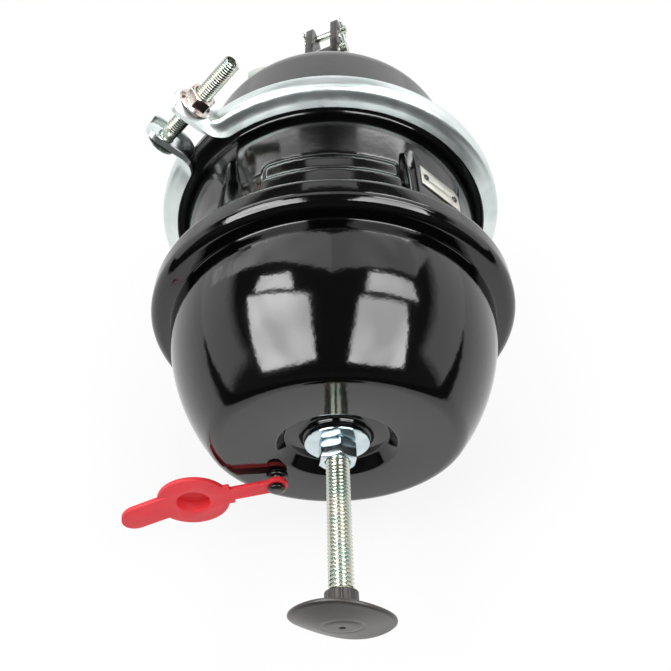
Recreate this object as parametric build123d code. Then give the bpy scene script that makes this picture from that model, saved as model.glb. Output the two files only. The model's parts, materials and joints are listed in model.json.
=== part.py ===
from build123d import *
import math
import os

# Air brake chamber: a service chamber and a spring brake chamber in one line.
# The axis is Y. The mounting face is at y = 0, the push rod leaves towards +Y
# and the release bolt towards -Y. +Z is up as the chamber lies.
# All lengths are in millimetres.

# ---- lengths along the axis ------------------------------------------------
service_depth = 92.0        # mounting face to the middle of the clamped joint
case_length = 87.2          # clamped joint to the middle of the crimped rim
head_depth = 85.3           # crimped rim to the end face of the head
stroke = 63.5               # travel of either push rod

# ---- pressed and cast walls ------------------------------------------------
sheet = 3.0                 # service housing
head_wall = 4.0             # spring housing
case_wall = 6.0             # cast flange case
diaphragm = 3.0             # rubber diaphragms
fit_gap = 0.05              # running fit, radial
seat_gap = 0.3              # faces of bodies that move apart

# ---- radii -----------------------------------------------------------------
case_radius = 92.0                          # plain wall of the flange case
case_inner = case_radius - case_wall
lip_radius = case_radius + 15.5             # flanges held by the clamp
service_radius = case_radius + 5.0          # service housing at its lip
service_taper = 5.0                         # degrees
service_corner = 26.0                       # outer corner at the mounting face
flange_radius = case_radius + 9.0           # case flange inside the crimped rim
flange_thick = 5.0
neck_radius = case_radius + 6.0             # case just above the crimped rim
rim_radius = flange_radius + 8.4            # crimped rim
rim_half = 10.0                             # half of the rim's width
rim_tuck = neck_radius + 0.6                # free edge rolled in over the case
head_radius = case_radius + 4.9             # head at its widest
head_curve = 118.0                          # long curve of the head's side
head_rise = 7.3                             # widest place beyond the rim's middle
head_corner = 10.0                          # corner at the end face

# ---- end of the head -------------------------------------------------------
dish_radius = 31.0          # dished centre of the end face
boss_radius = 19.0          # seat of the release washer
seat_depth = 6.0            # end face down to the washer seat
dish_depth = 8.5            # end face down to the floor of the dish
face_slope = 2.5            # fall of the end face from its corner to the dish
keyhole_length = 26.0       # slot for the T end of the release bolt
keyhole_width = 14.0
tag_x = -34.9               # centre of the tag plug
tag_z = -30.0
tag_hole = 4.5              # radius

# ---- drain holes of the service housing ------------------------------------
drain_angles = (160.0, 200.0)
drain_radius = 4.0
drain_back = 24.0           # clamped joint to the holes

# ---- release bolt and nut --------------------------------------------------
bolt_radius = 6.35
bolt_tail = 91.0            # washer seat to the free end
bolt_bar_length = 24.0
bolt_bar_width = 12.0
bolt_bar_height = 9.0
nut_across = 19.05
nut_height = 11.1
washer_radius = 18.0
washer_thick = 3.0
plug_disc_radius = 25.4
plug_disc_thick = 2.0
plug_collar_radius = 8.2
plug_collar_length = 14.0
plug_floor = 4.0            # disc's outer face to the bolt's end, less the disc
plug_vent = 1.5             # radius

# ---- spring piston and its rod ---------------------------------------------
piston_radius = case_inner - 6.0
piston_thick = 5.0
piston_lip = 6.0            # rim turned towards the power spring
piston_depth = 65.0         # end face of the head to the piston's diaphragm side
stem_radius = 15.0
stem_bore = 12.6
stem_length = 22.0
rod_radius = 19.0
rod_bore = 15.2
foot_radius = 30.0
foot_thick = 5.0
foot_screw = 5.0            # radius of the screw that holds the foot
foot_screw_head = 4.7       # head's reach beyond the shank
foot_screw_grip = 7.5       # length in the rod

# ---- partition of the flange case ------------------------------------------
web_top = 23.5              # clamped joint to the service side of the web
web_thick = 7.0
web_slope = 14.0            # length of the cone that joins web and wall
hub_radius = 30.0
hub_length = 20.5
hub_rise = 2.0              # hub above the web on the service side
bush_wall = 3.0
bush_length = 10.0
seal_section = 1.6          # radius of an O-ring's section
port_angle = 155.0          # degrees from +Z, one port each side of the bottom
port_back = 33.0            # clamped joint to the port's axis
port_radius = 7.35
port_depth = 13.0
port_boss = 13.5
port_face = case_radius + 12.0              # height of the port's face from the axis
port_way = 3.0              # radius of the drilled ways behind the ports

# ---- clamp -----------------------------------------------------------------
clamp_sheet = 3.2
clamp_radius = lip_radius + 6.5             # crown, outside
clamp_edge = clamp_radius - 11.0            # free edges of both flanks
clamp_crown = 6.0           # half width of the crown
clamp_half = 9.9            # half width over the free edges
clamp_round = 2.5           # outer corners of the crown
split_angle = 45.0          # degrees from +Z towards -X
lug_gap = 24.0              # between the two lugs of a pair
lug_thick = 5.0
lug_width = 22.0
lug_bend = 12.0             # where the band turns out into the lug
lug_bolt_height = clamp_radius + 11.5       # clamp bolt's axis from the chamber's axis
lug_reach = lug_bolt_height + 11.5
clamp_bolt_radius = 4.76
clamp_nut_across = 14.3
clamp_nut_height = 9.0
clamp_flange_radius = 10.2
clamp_bolt_tail = 27.0      # thread beyond the nut
clamp_head_radius = 9.5
clamp_head_height = 4.5

# ---- mounting studs --------------------------------------------------------
stud_pitch = 120.65
stud_angle = -56.0          # degrees from +Z towards +X
stud_radius = 7.94          # plain shank, which goes through the bracket
stud_plain = 27.0           # mounting face to the start of the thread
thread_relief = 0.25        # thread's crest below the plain shank
stud_length = 48.0
stud_head_thick = 4.0
stud_head_radius = 12.0
stud_collar = 9.3           # radius of the pressed collar in the sheet
stud_pad = 1.5              # embossed seat under each stud's head
stud_nut_across = 23.8
stud_nut_height = 13.9
stud_nut_place = 29.0       # mounting face to the nut

# ---- service push rod and clevis -------------------------------------------
plate_radius = case_inner - 10.0
plate_thick = 3.0
push_rod_radius = 7.94
guide_radius = 24.0
guide_rise = 4.5            # guide beyond the mounting face
guide_depth = 7.0           # guide inside the mounting face
guide_gap = 0.6             # radial, round the push rod
clevis_pin_place = 140.5    # mounting face to the clevis pin
link_pin_place = 173.5      # mounting face to the link pin
clevis_turn = -20.6         # degrees about Y
clevis_gap = 18.0
ear_thick = 6.2
ear_half = 12.7
ear_tip = 10.2
clevis_base = 11.0
clevis_socket = 15.0
clevis_neck = 13.0
clevis_pin_radius = 6.35
clevis_head_rim = 2.0       # head beyond the pin
clevis_head_thick = 3.0
link_pin_radius = 3.175
pin_overhang = 5.5
jam_nut_across = 23.8
jam_nut_height = 9.5
cotter_radius = 1.1
cotter_wire = 0.8           # radius of the eye and the spread legs

# ---- springs ---------------------------------------------------------------
power_wire = 6.5
power_turns = 3.0
power_small = 50.0
power_large = piston_radius - piston_lip - power_wire - 1.5
return_wire = 2.4
return_turns = 5.0
return_small = 31.0
return_large = 48.0
inner_wire = 1.6
inner_turns = 4.0
inner_small = 26.0
inner_large = 36.0

# ---- release tag and nameplate ---------------------------------------------
tag_lift = 4.8              # end face of the head to the middle of the tag
tag_tilt = 8.5              # degrees about X
tag_pitch = 4.7             # degrees, strap away from the head
tongue_pitch = 9.0          # degrees more for the tongue
tag_turn = 188.5            # direction of the tag, degrees from +X towards +Z
tag_thick = 2.6
tag_disc = 20.5
tag_disc_place = 48.7
tag_strap = 9.5
tag_eye = 6.2
tag_cup_radius = 9.6
tag_cup_depth = 6.5
tag_cup_wall = 1.8
tongue_width = 18.0
tongue_end = 91.0
tag_shank = 3.2
plug_head = 5.2             # rivet's head, radius
plug_collar = 6.2           # rivet's collar on the end face
plate_angle = 42.8
plate_height = case_radius + 1.3
plate_width = 32.6
plate_length = 15.6
plate_back = 42.9           # clamped joint to the plate's middle
nameplate_thick = 0.8
screw_reach = 12.3          # plate's middle to each drive screw
screw_hole = 1.1            # radius
screw_head = 2.2
screw_rise = 1.2
screw_length = 4.0
facet_width = 40.0
facet_thick = 12.0

# ---- ribs and bands of the case --------------------------------------------
rib_angles = (27.0, -38.5)
rib_thick = 6.0
rib_root = neck_radius + 2.5                # rib's height at the rim
rib_top = 22.0              # clamped joint to the rib's thin end
band_high_radius = case_radius + 6.0
band_low_radius = case_radius + 2.8
band_back = 56.0            # clamped joint to the end of the higher band
band_front = 41.0           # clamped joint to the end of the lower band
band_round = 1.5

# ---- stations on the axis --------------------------------------------------
joint_y = -service_depth
rim_y = joint_y - case_length
end_y = rim_y - head_depth
seat_y = end_y + seat_depth
washer_y = seat_y - washer_thick
piston_y = end_y + piston_depth
web_y = joint_y - web_top
foot_y = web_y + hub_rise + seat_gap
bar_y = piston_y + stem_length
bolt_end_y = seat_y - bolt_tail
rim_top_y = rim_y + rim_half


def turn_about_axis(outline):
    return revolve(outline, Axis.Y)


def polygon(points):
    return make_face(Polyline(*points, close=True))


def across(y):
    """Plane across the axis, its own y upwards, its normal towards -Y."""
    return Plane(origin=(0, y, 0), x_dir=(1, 0, 0), z_dir=(0, -1, 0))


def prism(outline, low_y, high_y):
    return extrude(across(high_y) * outline, amount=high_y - low_y)


def disc(radius, low_y, high_y, x=0.0, z=0.0):
    return prism(Pos(x, z) * Circle(radius), low_y, high_y)


def hexagon(across_flats, low_y, high_y, turn=0.0):
    outline = RegularPolygon(across_flats / 2, 6, major_radius=False, rotation=turn)
    return prism(outline, low_y, high_y)


def chamfered_hexagon(across_flats, low_y, high_y, turn=0.0):
    corner = across_flats / math.sqrt(3)
    rise = 0.6 * (corner - across_flats / 2)
    flat = 0.98 * across_flats / 2
    cone = turn_about_axis(polygon([
        (0, low_y), (flat, low_y), (corner, low_y + rise),
        (corner, high_y - rise), (flat, high_y), (0, high_y)]))
    return hexagon(across_flats, low_y, high_y, turn) & cone


def at_angle(solid, angle):
    """Turn about the axis, from +Z towards +X."""
    return Rot(0, angle, 0) * solid


def one_part(shape, name):
    os.makedirs("parts", exist_ok=True)
    export_step(Compound(children=list(shape.solids())), "parts/" + name + ".step")


# ---- service housing -------------------------------------------------------
def service_section(radius, depth, corner):
    """Half section of a tapered bowl with a rounded corner, closed at the axis."""
    lean = math.radians(service_taper)
    centre_y = -corner
    wall_at_corner = radius - (depth - corner) * math.tan(lean)
    centre_x = wall_at_corner - corner / math.cos(lean)
    mid = (math.pi / 2 - lean) / 2
    with BuildSketch(Plane.XY) as sketch:
        with BuildLine():
            start = (centre_x + corner * math.cos(lean), centre_y + corner * math.sin(lean))
            middle = (centre_x + corner * math.sin(mid), centre_y + corner * math.cos(mid))
            Polyline((0, 0), (0, -depth), (radius, -depth), start)
            ThreePointArc(start, middle, (centre_x, 0))
            Line((centre_x, 0), (0, 0))
        make_face()
    return sketch.sketch


def service_housing():
    lip_y = joint_y + diaphragm / 2
    outer = turn_about_axis(service_section(service_radius, service_depth - diaphragm / 2, service_corner))
    depth = service_depth - diaphragm / 2 - sheet
    hollow = service_section(service_radius - sheet, depth, service_corner - sheet)
    root = service_radius - sheet
    lip = polygon([
        (root, lip_y), (lip_radius, lip_y), (lip_radius, joint_y + flank_inside(lip_radius)),
        (clamp_edge - 2, joint_y + flank_inside(clamp_edge - 2)), (service_radius, lip_y + 2.2 * sheet),
        (root, lip_y + 2.2 * sheet)])
    shell = outer + turn_about_axis(lip)
    shell -= Pos(0, -sheet, 0) * turn_about_axis(hollow)
    shell -= disc(guide_radius, -sheet - 1, 1)
    for side in (1, -1):
        x, z = stud_place(side)
        shell += disc(stud_head_radius, -sheet - stud_pad, -sheet, x, z)
        shell -= disc(stud_collar + fit_gap, -sheet - stud_pad - 1, 1, x, z)
    for angle in drain_angles:
        drain = Cylinder(drain_radius, 5 * sheet)
        shell -= at_angle(Pos(0, joint_y + drain_back, service_radius) * drain, angle)
    return shell


def stud_place(side):
    angle = math.radians(stud_angle)
    reach = side * stud_pitch / 2
    return reach * math.sin(angle), reach * math.cos(angle)


def mounting_studs():
    studs = []
    for side in (1, -1):
        x, z = stud_place(side)
        seat = -sheet - stud_pad
        stud = disc(stud_head_radius, seat - stud_head_thick, seat, x, z)
        stud += disc(stud_collar, seat, -seat_gap, x, z)
        stud += disc(stud_radius, -seat_gap, stud_plain, x, z)
        thread = disc(stud_radius - thread_relief, stud_plain, stud_length, x, z)
        studs.append(stud + chamfer(thread.edges().group_by(Axis.Y)[-1], 1.2))
    return Compound(children=studs)


def mounting_nuts():
    nut = chamfered_hexagon(stud_nut_across, stud_nut_place, stud_nut_place + stud_nut_height, 12)
    bore = stud_radius - thread_relief + fit_gap
    nut -= disc(bore, stud_nut_place - 1, stud_nut_place + stud_nut_height + 1)
    places = [stud_place(side) for side in (1, -1)]
    return Compound(children=[Pos(x, 0, z) * nut for x, z in places])


def push_rod_guide():
    bore = push_rod_radius + guide_gap
    groove = guide_radius - fit_gap
    ledge = groove + 3
    outline = polygon([
        (bore, guide_rise - 2.5), (bore, -sheet - 4), (groove - 3, -guide_depth),
        (ledge, -guide_depth + 1.5), (ledge, -sheet), (groove, -sheet), (groove, 1.0),
        (groove - 6, guide_rise), (bore + 3.5, guide_rise)])
    return turn_about_axis(outline)


# ---- clamp -----------------------------------------------------------------
def clamp_section(outer, half_crown, half_edge, sheet_thick):
    """V section of the band; the flanks lean out towards their free edges."""
    return polygon([
        (clamp_edge, joint_y - half_edge), (outer, joint_y - half_crown),
        (outer, joint_y + half_crown), (clamp_edge, joint_y + half_edge),
        (clamp_edge, joint_y + half_edge - sheet_thick),
        (outer - sheet_thick, joint_y + half_crown - 0.6 * sheet_thick),
        (outer - sheet_thick, joint_y - half_crown + 0.6 * sheet_thick),
        (clamp_edge, joint_y - half_edge + sheet_thick)])


def flank_inside(radius):
    """Distance from the joint to the band's inner flank at a radius, less the seating gap."""
    outer = clamp_radius - clamp_sheet
    wide = clamp_half - clamp_sheet
    narrow = clamp_crown - 0.6 * clamp_sheet
    share = (radius - clamp_edge) / (outer - clamp_edge)
    return wide + (narrow - wide) * share - fit_gap


def lug_pair_frame(solid, opposite):
    turn = -split_angle + (180.0 if opposite else 0.0)
    return at_angle(solid, turn)


def lug(side):
    """One lug at the split, standing off along X; side is +1 or -1."""
    near = side * lug_gap / 2
    far = near + side * lug_thick
    root = clamp_radius - clamp_sheet
    with BuildSketch(Plane.XY) as sketch:
        with BuildLine():
            Polyline((near, root - 6), (near, lug_reach), (far, lug_reach), (far, root + 4.2),
                     (far + side * 5, root + 1.0), (far + side * lug_bend, root - 6), close=True)
        make_face()
    upright = Plane(origin=(0, joint_y + lug_width / 2, 0), x_dir=(1, 0, 0), z_dir=(0, -1, 0))
    block = extrude(upright * sketch.sketch, amount=lug_width)
    tips = block.edges().filter_by(Axis.X).group_by(Axis.Z)[-1]
    block = fillet(tips, 6.0)
    block = block - disc(root, joint_y - lug_width, joint_y + lug_width)
    hole = Rot(0, 90, 0) * Cylinder(clamp_bolt_radius + 0.2, 2 * lug_reach)
    return block - Pos(0, joint_y, lug_bolt_height) * hole


def clamp_band(upper):
    band = turn_about_axis(clamp_section(clamp_radius, clamp_crown, clamp_half, clamp_sheet))
    band = fillet(band.edges().filter_by(GeomType.CIRCLE).group_by(SortBy.RADIUS)[-1], clamp_round)
    side = 1 if upper else -1
    middle = side * (clamp_radius + lug_gap / 2 - 3)
    keep = Pos(middle, joint_y, 0) * Box(2 * clamp_radius, 6 * clamp_half, 4 * clamp_radius)
    half = at_angle(keep, -split_angle) & band
    half += lug_pair_frame(lug(side), False)
    half += lug_pair_frame(lug(-side), True)
    return half


def clamp_bolts():
    start = -lug_gap / 2 - lug_thick
    end = lug_gap / 2 + lug_thick + clamp_nut_height + clamp_bolt_tail
    shank = Pos((start + end) / 2, 0, 0) * (Rot(0, 90, 0) * Cylinder(clamp_bolt_radius, end - start))
    shank = chamfer(shank.edges().group_by(Axis.X)[-1], 0.9)
    dome = Pos(start, 0, 0) * (Rot(0, -90, 0) * cup_head(clamp_head_radius, clamp_head_height))
    bolt = Pos(0, joint_y, lug_bolt_height) * (shank + dome)
    return Compound(children=[lug_pair_frame(bolt, opposite) for opposite in (False, True)])


def cup_head(radius, height):
    """Low domed head standing on z = 0."""
    ball = (radius ** 2 + height ** 2) / (2 * height)
    return Pos(0, 0, height - ball) * Sphere(ball) & Pos(0, 0, height / 2) * Cylinder(2 * radius, height)


def clamp_nuts():
    base = lug_gap / 2 + lug_thick
    hex_outline = RegularPolygon(clamp_nut_across / 2, 6, major_radius=False)
    body = extrude(hex_outline, amount=clamp_nut_height)
    skirt = extrude(Circle(clamp_flange_radius), amount=2.0)
    nut = body + chamfer(skirt.edges().group_by(Axis.Z)[-1], 0.8)
    nut -= Cylinder(clamp_bolt_radius + fit_gap, 4 * clamp_nut_height)
    nut = Pos(base, joint_y, lug_bolt_height) * (Rot(0, 90, 0) * nut)
    return Compound(children=[lug_pair_frame(nut, opposite) for opposite in (False, True)])


# ---- flange case -----------------------------------------------------------
def case_outline():
    """Outer half section of the cast case, from the rim's flange to the clamped lip."""
    low = rim_y + diaphragm / 2
    lip = joint_y - diaphragm / 2
    return [
        (0, low), (flange_radius, low), (flange_radius, low + flange_thick),
        (neck_radius, low + flange_thick + 3), (neck_radius, rim_top_y + 2), (case_radius, rim_top_y + 8),
        (case_radius, lip - 13), (case_radius + 3, lip - 8),
        (clamp_edge - 2, joint_y - flank_inside(clamp_edge - 2)),
        (lip_radius, joint_y - flank_inside(lip_radius)), (lip_radius, lip), (0, lip)]


def case_hollows():
    """Spring side below the web and service side above it."""
    low = rim_y + diaphragm / 2
    lip = joint_y - diaphragm / 2
    spring_side = polygon([
        (0, low - 1), (case_inner, low - 1), (case_inner, web_y - web_thick - web_slope),
        (case_inner - 2 * case_wall, web_y - web_thick), (0, web_y - web_thick)])
    service_side = polygon([
        (0, web_y), (case_inner - 4, web_y), (case_inner + 4, lip - 7), (case_inner + 6, lip + 1),
        (0, lip + 1)])
    return turn_about_axis(spring_side) + turn_about_axis(service_side)


def case_bands():
    """Two stepped bands cast on the wall between the ribs."""
    root = case_radius - 3
    high_end = joint_y - band_back
    low_end = joint_y - band_front
    outline = polygon([
        (root, rim_top_y + 1), (band_high_radius, rim_top_y + 1), (band_high_radius, high_end - band_round),
        (band_high_radius - band_round, high_end), (band_low_radius, high_end),
        (band_low_radius, low_end - band_round), (case_radius, low_end), (root, low_end)])
    span = rib_angles[0] - rib_angles[1]
    sector = revolve(outline, Axis.Y, span)
    return at_angle(sector, rib_angles[0] - 90.0 - span)


def plate_facet():
    """Flat cast beside one rib, which carries the nameplate."""
    low = rim_top_y + 1
    high = joint_y - rib_top
    block = Pos(0, (low + high) / 2, plate_height - facet_thick / 2) * Box(
        facet_width, high - low, facet_thick)
    return chamfer(block.edges().filter_by(Axis.X).group_by(Axis.Z)[-1], 1.0)


def case_rib():
    """Web that stiffens the wall between the rim and the clamped lip."""
    low = rim_top_y + 1
    high = joint_y - rib_top
    root = case_radius - 3
    outline = polygon([
        (low, root), (low, rib_root), (low + 8, rib_root - 0.5), (high, case_radius + 1.0), (high, root)])
    side = Plane(origin=(rib_thick / 2, 0, 0), x_dir=(0, 1, 0), z_dir=(1, 0, 0))
    return extrude(side * outline, amount=-rib_thick)


def port_boss_body():
    root = case_inner - 2
    middle = (port_face + root) / 2
    return Pos(0, joint_y - port_back, middle) * Cylinder(port_boss, port_face - root)


def port_bore():
    middle = port_face - port_depth / 2 + 1
    return Pos(0, joint_y - port_back, middle) * Cylinder(port_radius, port_depth + 2)


def port_passage(to_service_side):
    """Drilled way from the foot of the port to its own side of the web."""
    foot = port_face - port_depth - 2
    if to_service_side:
        along = Rot(90, 0, 0) * Cylinder(port_way, port_back + 1)
        way = Pos(0, joint_y - port_back / 2 - 2, foot - 1) * along
        return way + Pos(0, joint_y - port_back, foot) * Cylinder(port_way + 1, 2 * port_way)
    inner = case_inner - 2 * case_wall
    return Pos(0, joint_y - port_back, (foot + inner) / 2) * Cylinder(port_way + 1, foot - inner + 6)


def flange_case():
    solid = turn_about_axis(polygon(case_outline()))
    solid -= case_hollows()
    solid += disc(hub_radius, web_y + hub_rise - hub_length, web_y + hub_rise)
    for angle in rib_angles:
        solid += at_angle(case_rib(), angle)
    solid += case_bands()
    solid += at_angle(plate_facet(), plate_angle)
    middle = joint_y - plate_back
    for side in (1, -1):
        hole = Pos(side * screw_reach, middle, plate_height) * Cylinder(screw_hole, 2 * screw_length)
        solid -= at_angle(hole, plate_angle)
    for angle in (port_angle, -port_angle):
        solid += at_angle(port_boss_body(), angle)
    inner = case_inner - 2 * case_wall - 2
    hollow = case_hollows() - disc(hub_radius, web_y + hub_rise - hub_length, web_y + hub_rise)
    keep_in = turn_about_axis(polygon([
        (0, rim_y), (inner, rim_y), (inner, joint_y), (0, joint_y)]))
    solid -= hollow & keep_in
    for angle, to_service in ((port_angle, True), (-port_angle, False)):
        solid -= at_angle(port_bore(), angle)
        solid -= at_angle(port_passage(to_service), angle)
    bore_low = web_y + hub_rise - hub_length
    solid -= disc(rod_radius + fit_gap, bore_low - 1, web_y + hub_rise + 1)
    bush_low = hub_middle() - bush_length / 2
    solid -= disc(rod_radius + bush_wall, bush_low, bush_low + bush_length)
    for y in seal_places():
        half = 1.05 * seal_section
        solid -= disc(rod_radius + fit_gap + 2 * seal_section, y - half, y + half)
    return solid


def hub_middle():
    return web_y + hub_rise - hub_length / 2


def seal_places():
    reach = bush_length / 2 + seal_section + 1.2
    return hub_middle() - reach, hub_middle() + reach


def centre_bush():
    low = hub_middle() - bush_length / 2
    high = low + bush_length
    outline = polygon([
        (rod_radius + fit_gap, low), (rod_radius + bush_wall, low),
        (rod_radius + bush_wall, high), (rod_radius + fit_gap, high)])
    return turn_about_axis(outline)


def centre_seals():
    middle = rod_radius + fit_gap + seal_section
    section = seal_section - 0.02
    rings = [turn_about_axis(Pos(middle, y) * Circle(section)) for y in seal_places()]
    return Compound(children=rings)


def nameplate():
    middle = joint_y - plate_back
    plate = Box(plate_width, plate_length, nameplate_thick)
    plate = chamfer(plate.edges().filter_by(Axis.Z).sort_by(Axis.X)[-1:], 3.0)
    for side in (1, -1):
        plate -= Pos(side * screw_reach, 0, 0) * Cylinder(screw_hole, 4)
    return at_angle(Pos(0, middle, plate_height + nameplate_thick / 2) * plate, plate_angle)


def nameplate_screws():
    middle = joint_y - plate_back
    top = plate_height + nameplate_thick
    screws = []
    for side in (1, -1):
        head = Pos(side * screw_reach, middle, top) * cup_head(screw_head, screw_rise)
        shank = Cylinder(screw_hole - fit_gap, screw_length)
        head += Pos(side * screw_reach, middle, top - screw_length / 2) * shank
        screws.append(at_angle(head, plate_angle))
    return Compound(children=screws)


# ---- spring housing --------------------------------------------------------
def head_side(offset):
    """Centre of the corner arc and the point where it meets the side, set in by offset."""
    centre_x = head_radius - head_curve
    centre_y = rim_y - head_rise
    corner_y = end_y + head_corner
    reach = head_curve - head_corner
    corner_x = centre_x + math.sqrt(reach ** 2 - (centre_y - corner_y) ** 2)
    slope = ((corner_x - centre_x) / reach, (corner_y - centre_y) / reach)
    radius = head_curve - offset
    meet = (centre_x + radius * slope[0], centre_y + radius * slope[1])
    return (centre_x, centre_y), (corner_x, corner_y), slope, meet


def side_point(offset, y):
    (centre_x, centre_y), _, _, _ = head_side(offset)
    radius = head_curve - offset
    return centre_x + math.sqrt(radius ** 2 - (y - centre_y) ** 2), y


def head_section(offset, top_y):
    """Half section of the bell, closed at the axis; offset sets the skin inwards."""
    _, (corner_x, corner_y), slope, meet = head_side(offset)
    small = head_corner - offset
    face = end_y + offset
    top = side_point(offset, top_y)
    half = side_point(offset, (top_y + meet[1]) / 2)
    drift = 0.55 * offset
    bend = math.hypot(slope[0], slope[1] - 1)
    middle = (corner_x + small * slope[0] / bend, corner_y + small * (slope[1] - 1) / bend)
    with BuildSketch(Plane.XY) as sketch:
        with BuildLine():
            Polyline((corner_x, face), (dish_radius + 2 + drift, face + face_slope),
                     (dish_radius - 2 + drift, face + dish_depth), (0, face + dish_depth), (0, top_y), top)
            ThreePointArc(top, half, meet)
            ThreePointArc(meet, middle, (corner_x, face))
        make_face()
    return sketch.sketch


def face_at(radius):
    """Place of the end face between its corner and the dish."""
    _, (corner_x, _), _, _ = head_side(0.0)
    share = (corner_x - radius) / (corner_x - dish_radius - 2)
    return end_y + face_slope * share


def rim_section():
    """Rolled rim: a band bent round the bead and the flange of the case."""
    centre = rim_radius - rim_half
    with BuildSketch(Plane.XY) as sketch:
        with BuildLine():
            low = rim_y - rim_half
            high = rim_y + rim_half
            Line((side_point(head_wall, low)[0] + 0.2, low), (centre, low))
            ThreePointArc((centre, low), (rim_radius, rim_y), (centre, high))
            Line((centre, high), (rim_tuck, high))
            Polyline((rim_tuck, high), (side_point(head_wall, low)[0] + 0.2, high),
                     (side_point(head_wall, low)[0] + 0.2, low))
        make_face()
    return sketch.sketch


def spring_housing():
    low = rim_y - rim_half
    bead_low = rim_y - diaphragm / 2 - 1.5
    shell = turn_about_axis(head_section(0.0, low)) + turn_about_axis(rim_section())
    shell += turn_about_axis(head_section(0.0, bead_low))
    shell -= turn_about_axis(head_section(head_wall, bead_low))
    flange_low = rim_y + diaphragm / 2
    groove = polygon([
        (0, bead_low), (flange_radius, bead_low), (flange_radius, flange_low + flange_thick),
        (neck_radius, flange_low + flange_thick + 3), (neck_radius, rim_y + rim_half + 1),
        (0, rim_y + rim_half + 1)])
    shell -= turn_about_axis(groove)
    seat = disc(boss_radius, seat_y, end_y + dish_depth + head_wall)
    shell += seat
    slot = SlotOverall(keyhole_length, keyhole_width)
    shell -= prism(slot, end_y - 5, end_y + 30)
    shell -= disc(tag_hole, end_y - 5, end_y + 20, tag_x, tag_z)
    return shell


# ---- release bolt, nut, washer, plug ---------------------------------------
def release_bolt():
    shank = disc(bolt_radius, bolt_end_y, bar_y + bolt_bar_height / 2)
    shank = chamfer(shank.edges().group_by(Axis.Y)[0], 1.2)
    bar = prism(Rectangle(bolt_bar_width, bolt_bar_length), bar_y, bar_y + bolt_bar_height)
    bar = bar & disc(bolt_bar_length / 2, bar_y, bar_y + bolt_bar_height)
    return shank + bar


def release_nut():
    low = washer_y - fit_gap - nut_height
    nut = chamfered_hexagon(nut_across, low, low + nut_height, 8.5)
    return nut - disc(bolt_radius + fit_gap, low - 1, washer_y + 1)


def release_washer():
    outline = polygon([
        (bolt_radius + 0.5, washer_y), (washer_radius - 0.4, washer_y), (washer_radius, washer_y + 0.4),
        (washer_radius, seat_y), (bolt_radius + 0.5, seat_y)])
    return turn_about_axis(outline)


def dust_plug():
    face = bolt_end_y - plug_disc_thick - plug_floor
    bore_y = bolt_end_y - plug_floor + 1
    root = face + plug_disc_thick
    collar = disc(plug_collar_radius, root, root + plug_collar_length)
    for place in PolarLocations(plug_collar_radius + 0.5, 12):
        x, z = place.position.X, place.position.Y
        collar -= disc(1.1, root + 1.5, root + plug_collar_length + 1, x, z)
    body = collar + disc(plug_disc_radius, face, face + plug_disc_thick)
    body -= disc(bolt_radius + fit_gap, bore_y, face + 40)
    return body - disc(plug_vent, face - 1, bore_y + 1)


# ---- spring piston, its rod and foot ---------------------------------------
def spring_piston():
    low = piston_y - piston_thick
    outline = polygon([
        (0, low), (piston_radius - piston_lip, low), (piston_radius - 4, low - piston_lip),
        (piston_radius, low - piston_lip),
        (piston_radius, low), (piston_radius - 5, piston_y), (stem_radius, piston_y),
        (stem_radius, piston_y + stem_length), (0, piston_y + stem_length)])
    solid = turn_about_axis(outline)
    solid -= disc(stem_bore, low - 10, piston_y + stem_length - 4)
    slot = RectangleRounded(2 * stem_bore, keyhole_width, 2)
    return solid - prism(slot, low, piston_y + stem_length + 1)


def adapter_push_rod():
    low = piston_y + diaphragm + seat_gap
    solid = disc(rod_radius, low, foot_y) - disc(stem_radius, low - 1, piston_y + stem_length)
    solid -= disc(rod_bore, piston_y + stem_length, foot_y - 8)
    return solid - disc(foot_screw, foot_y - 9, foot_y + 1)


def adapter_foot():
    outline = polygon([
        (foot_screw + 0.2, foot_y), (foot_radius - 3, foot_y), (foot_radius, foot_y + 2),
        (foot_radius, foot_y + foot_thick), (foot_screw + foot_screw_head + 0.5, foot_y + foot_thick),
        (foot_screw + 0.2, foot_y + foot_thick - 4)])
    return turn_about_axis(outline)


def foot_screw_part():
    top = foot_y + foot_thick - 0.3
    outline = polygon([
        (0, foot_y - foot_screw_grip), (foot_screw, foot_y - foot_screw_grip),
        (foot_screw, foot_y + foot_thick - 4), (foot_screw + foot_screw_head, top), (0, top)])
    return turn_about_axis(outline)


# ---- diaphragms ------------------------------------------------------------
def spring_diaphragm():
    half = diaphragm / 2
    top = piston_y + diaphragm
    hole = rod_radius - 1.0
    bead = flange_radius - 0.5
    outline = [
        (hole, piston_y), (piston_radius - 5, piston_y), (piston_radius + 3.5, rim_y - 6 - half),
        (case_radius - 1, rim_y - half - 1.2), (case_radius + 3, rim_y - half),
        (bead, rim_y - half - 1.2), (bead, rim_y + half), (case_radius - 2, rim_y + half),
        (piston_radius + 4.0, rim_y - 2.0), (piston_radius - 4.0, top), (hole, top)]
    return turn_about_axis(polygon(outline))


def service_diaphragm():
    half = diaphragm / 2
    low = foot_y + foot_thick + seat_gap
    outline = [
        (0, low), (case_inner - 8, low), (case_inner + 1, joint_y - half - 3),
        (case_inner + 5.5, joint_y - half), (lip_radius - 0.5, joint_y - half),
        (lip_radius - 0.5, joint_y + half), (case_inner + 4, joint_y + half),
        (case_inner - 2, joint_y - half + 1), (case_inner - 12, low + diaphragm), (0, low + diaphragm)]
    return turn_about_axis(polygon(outline))


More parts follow.
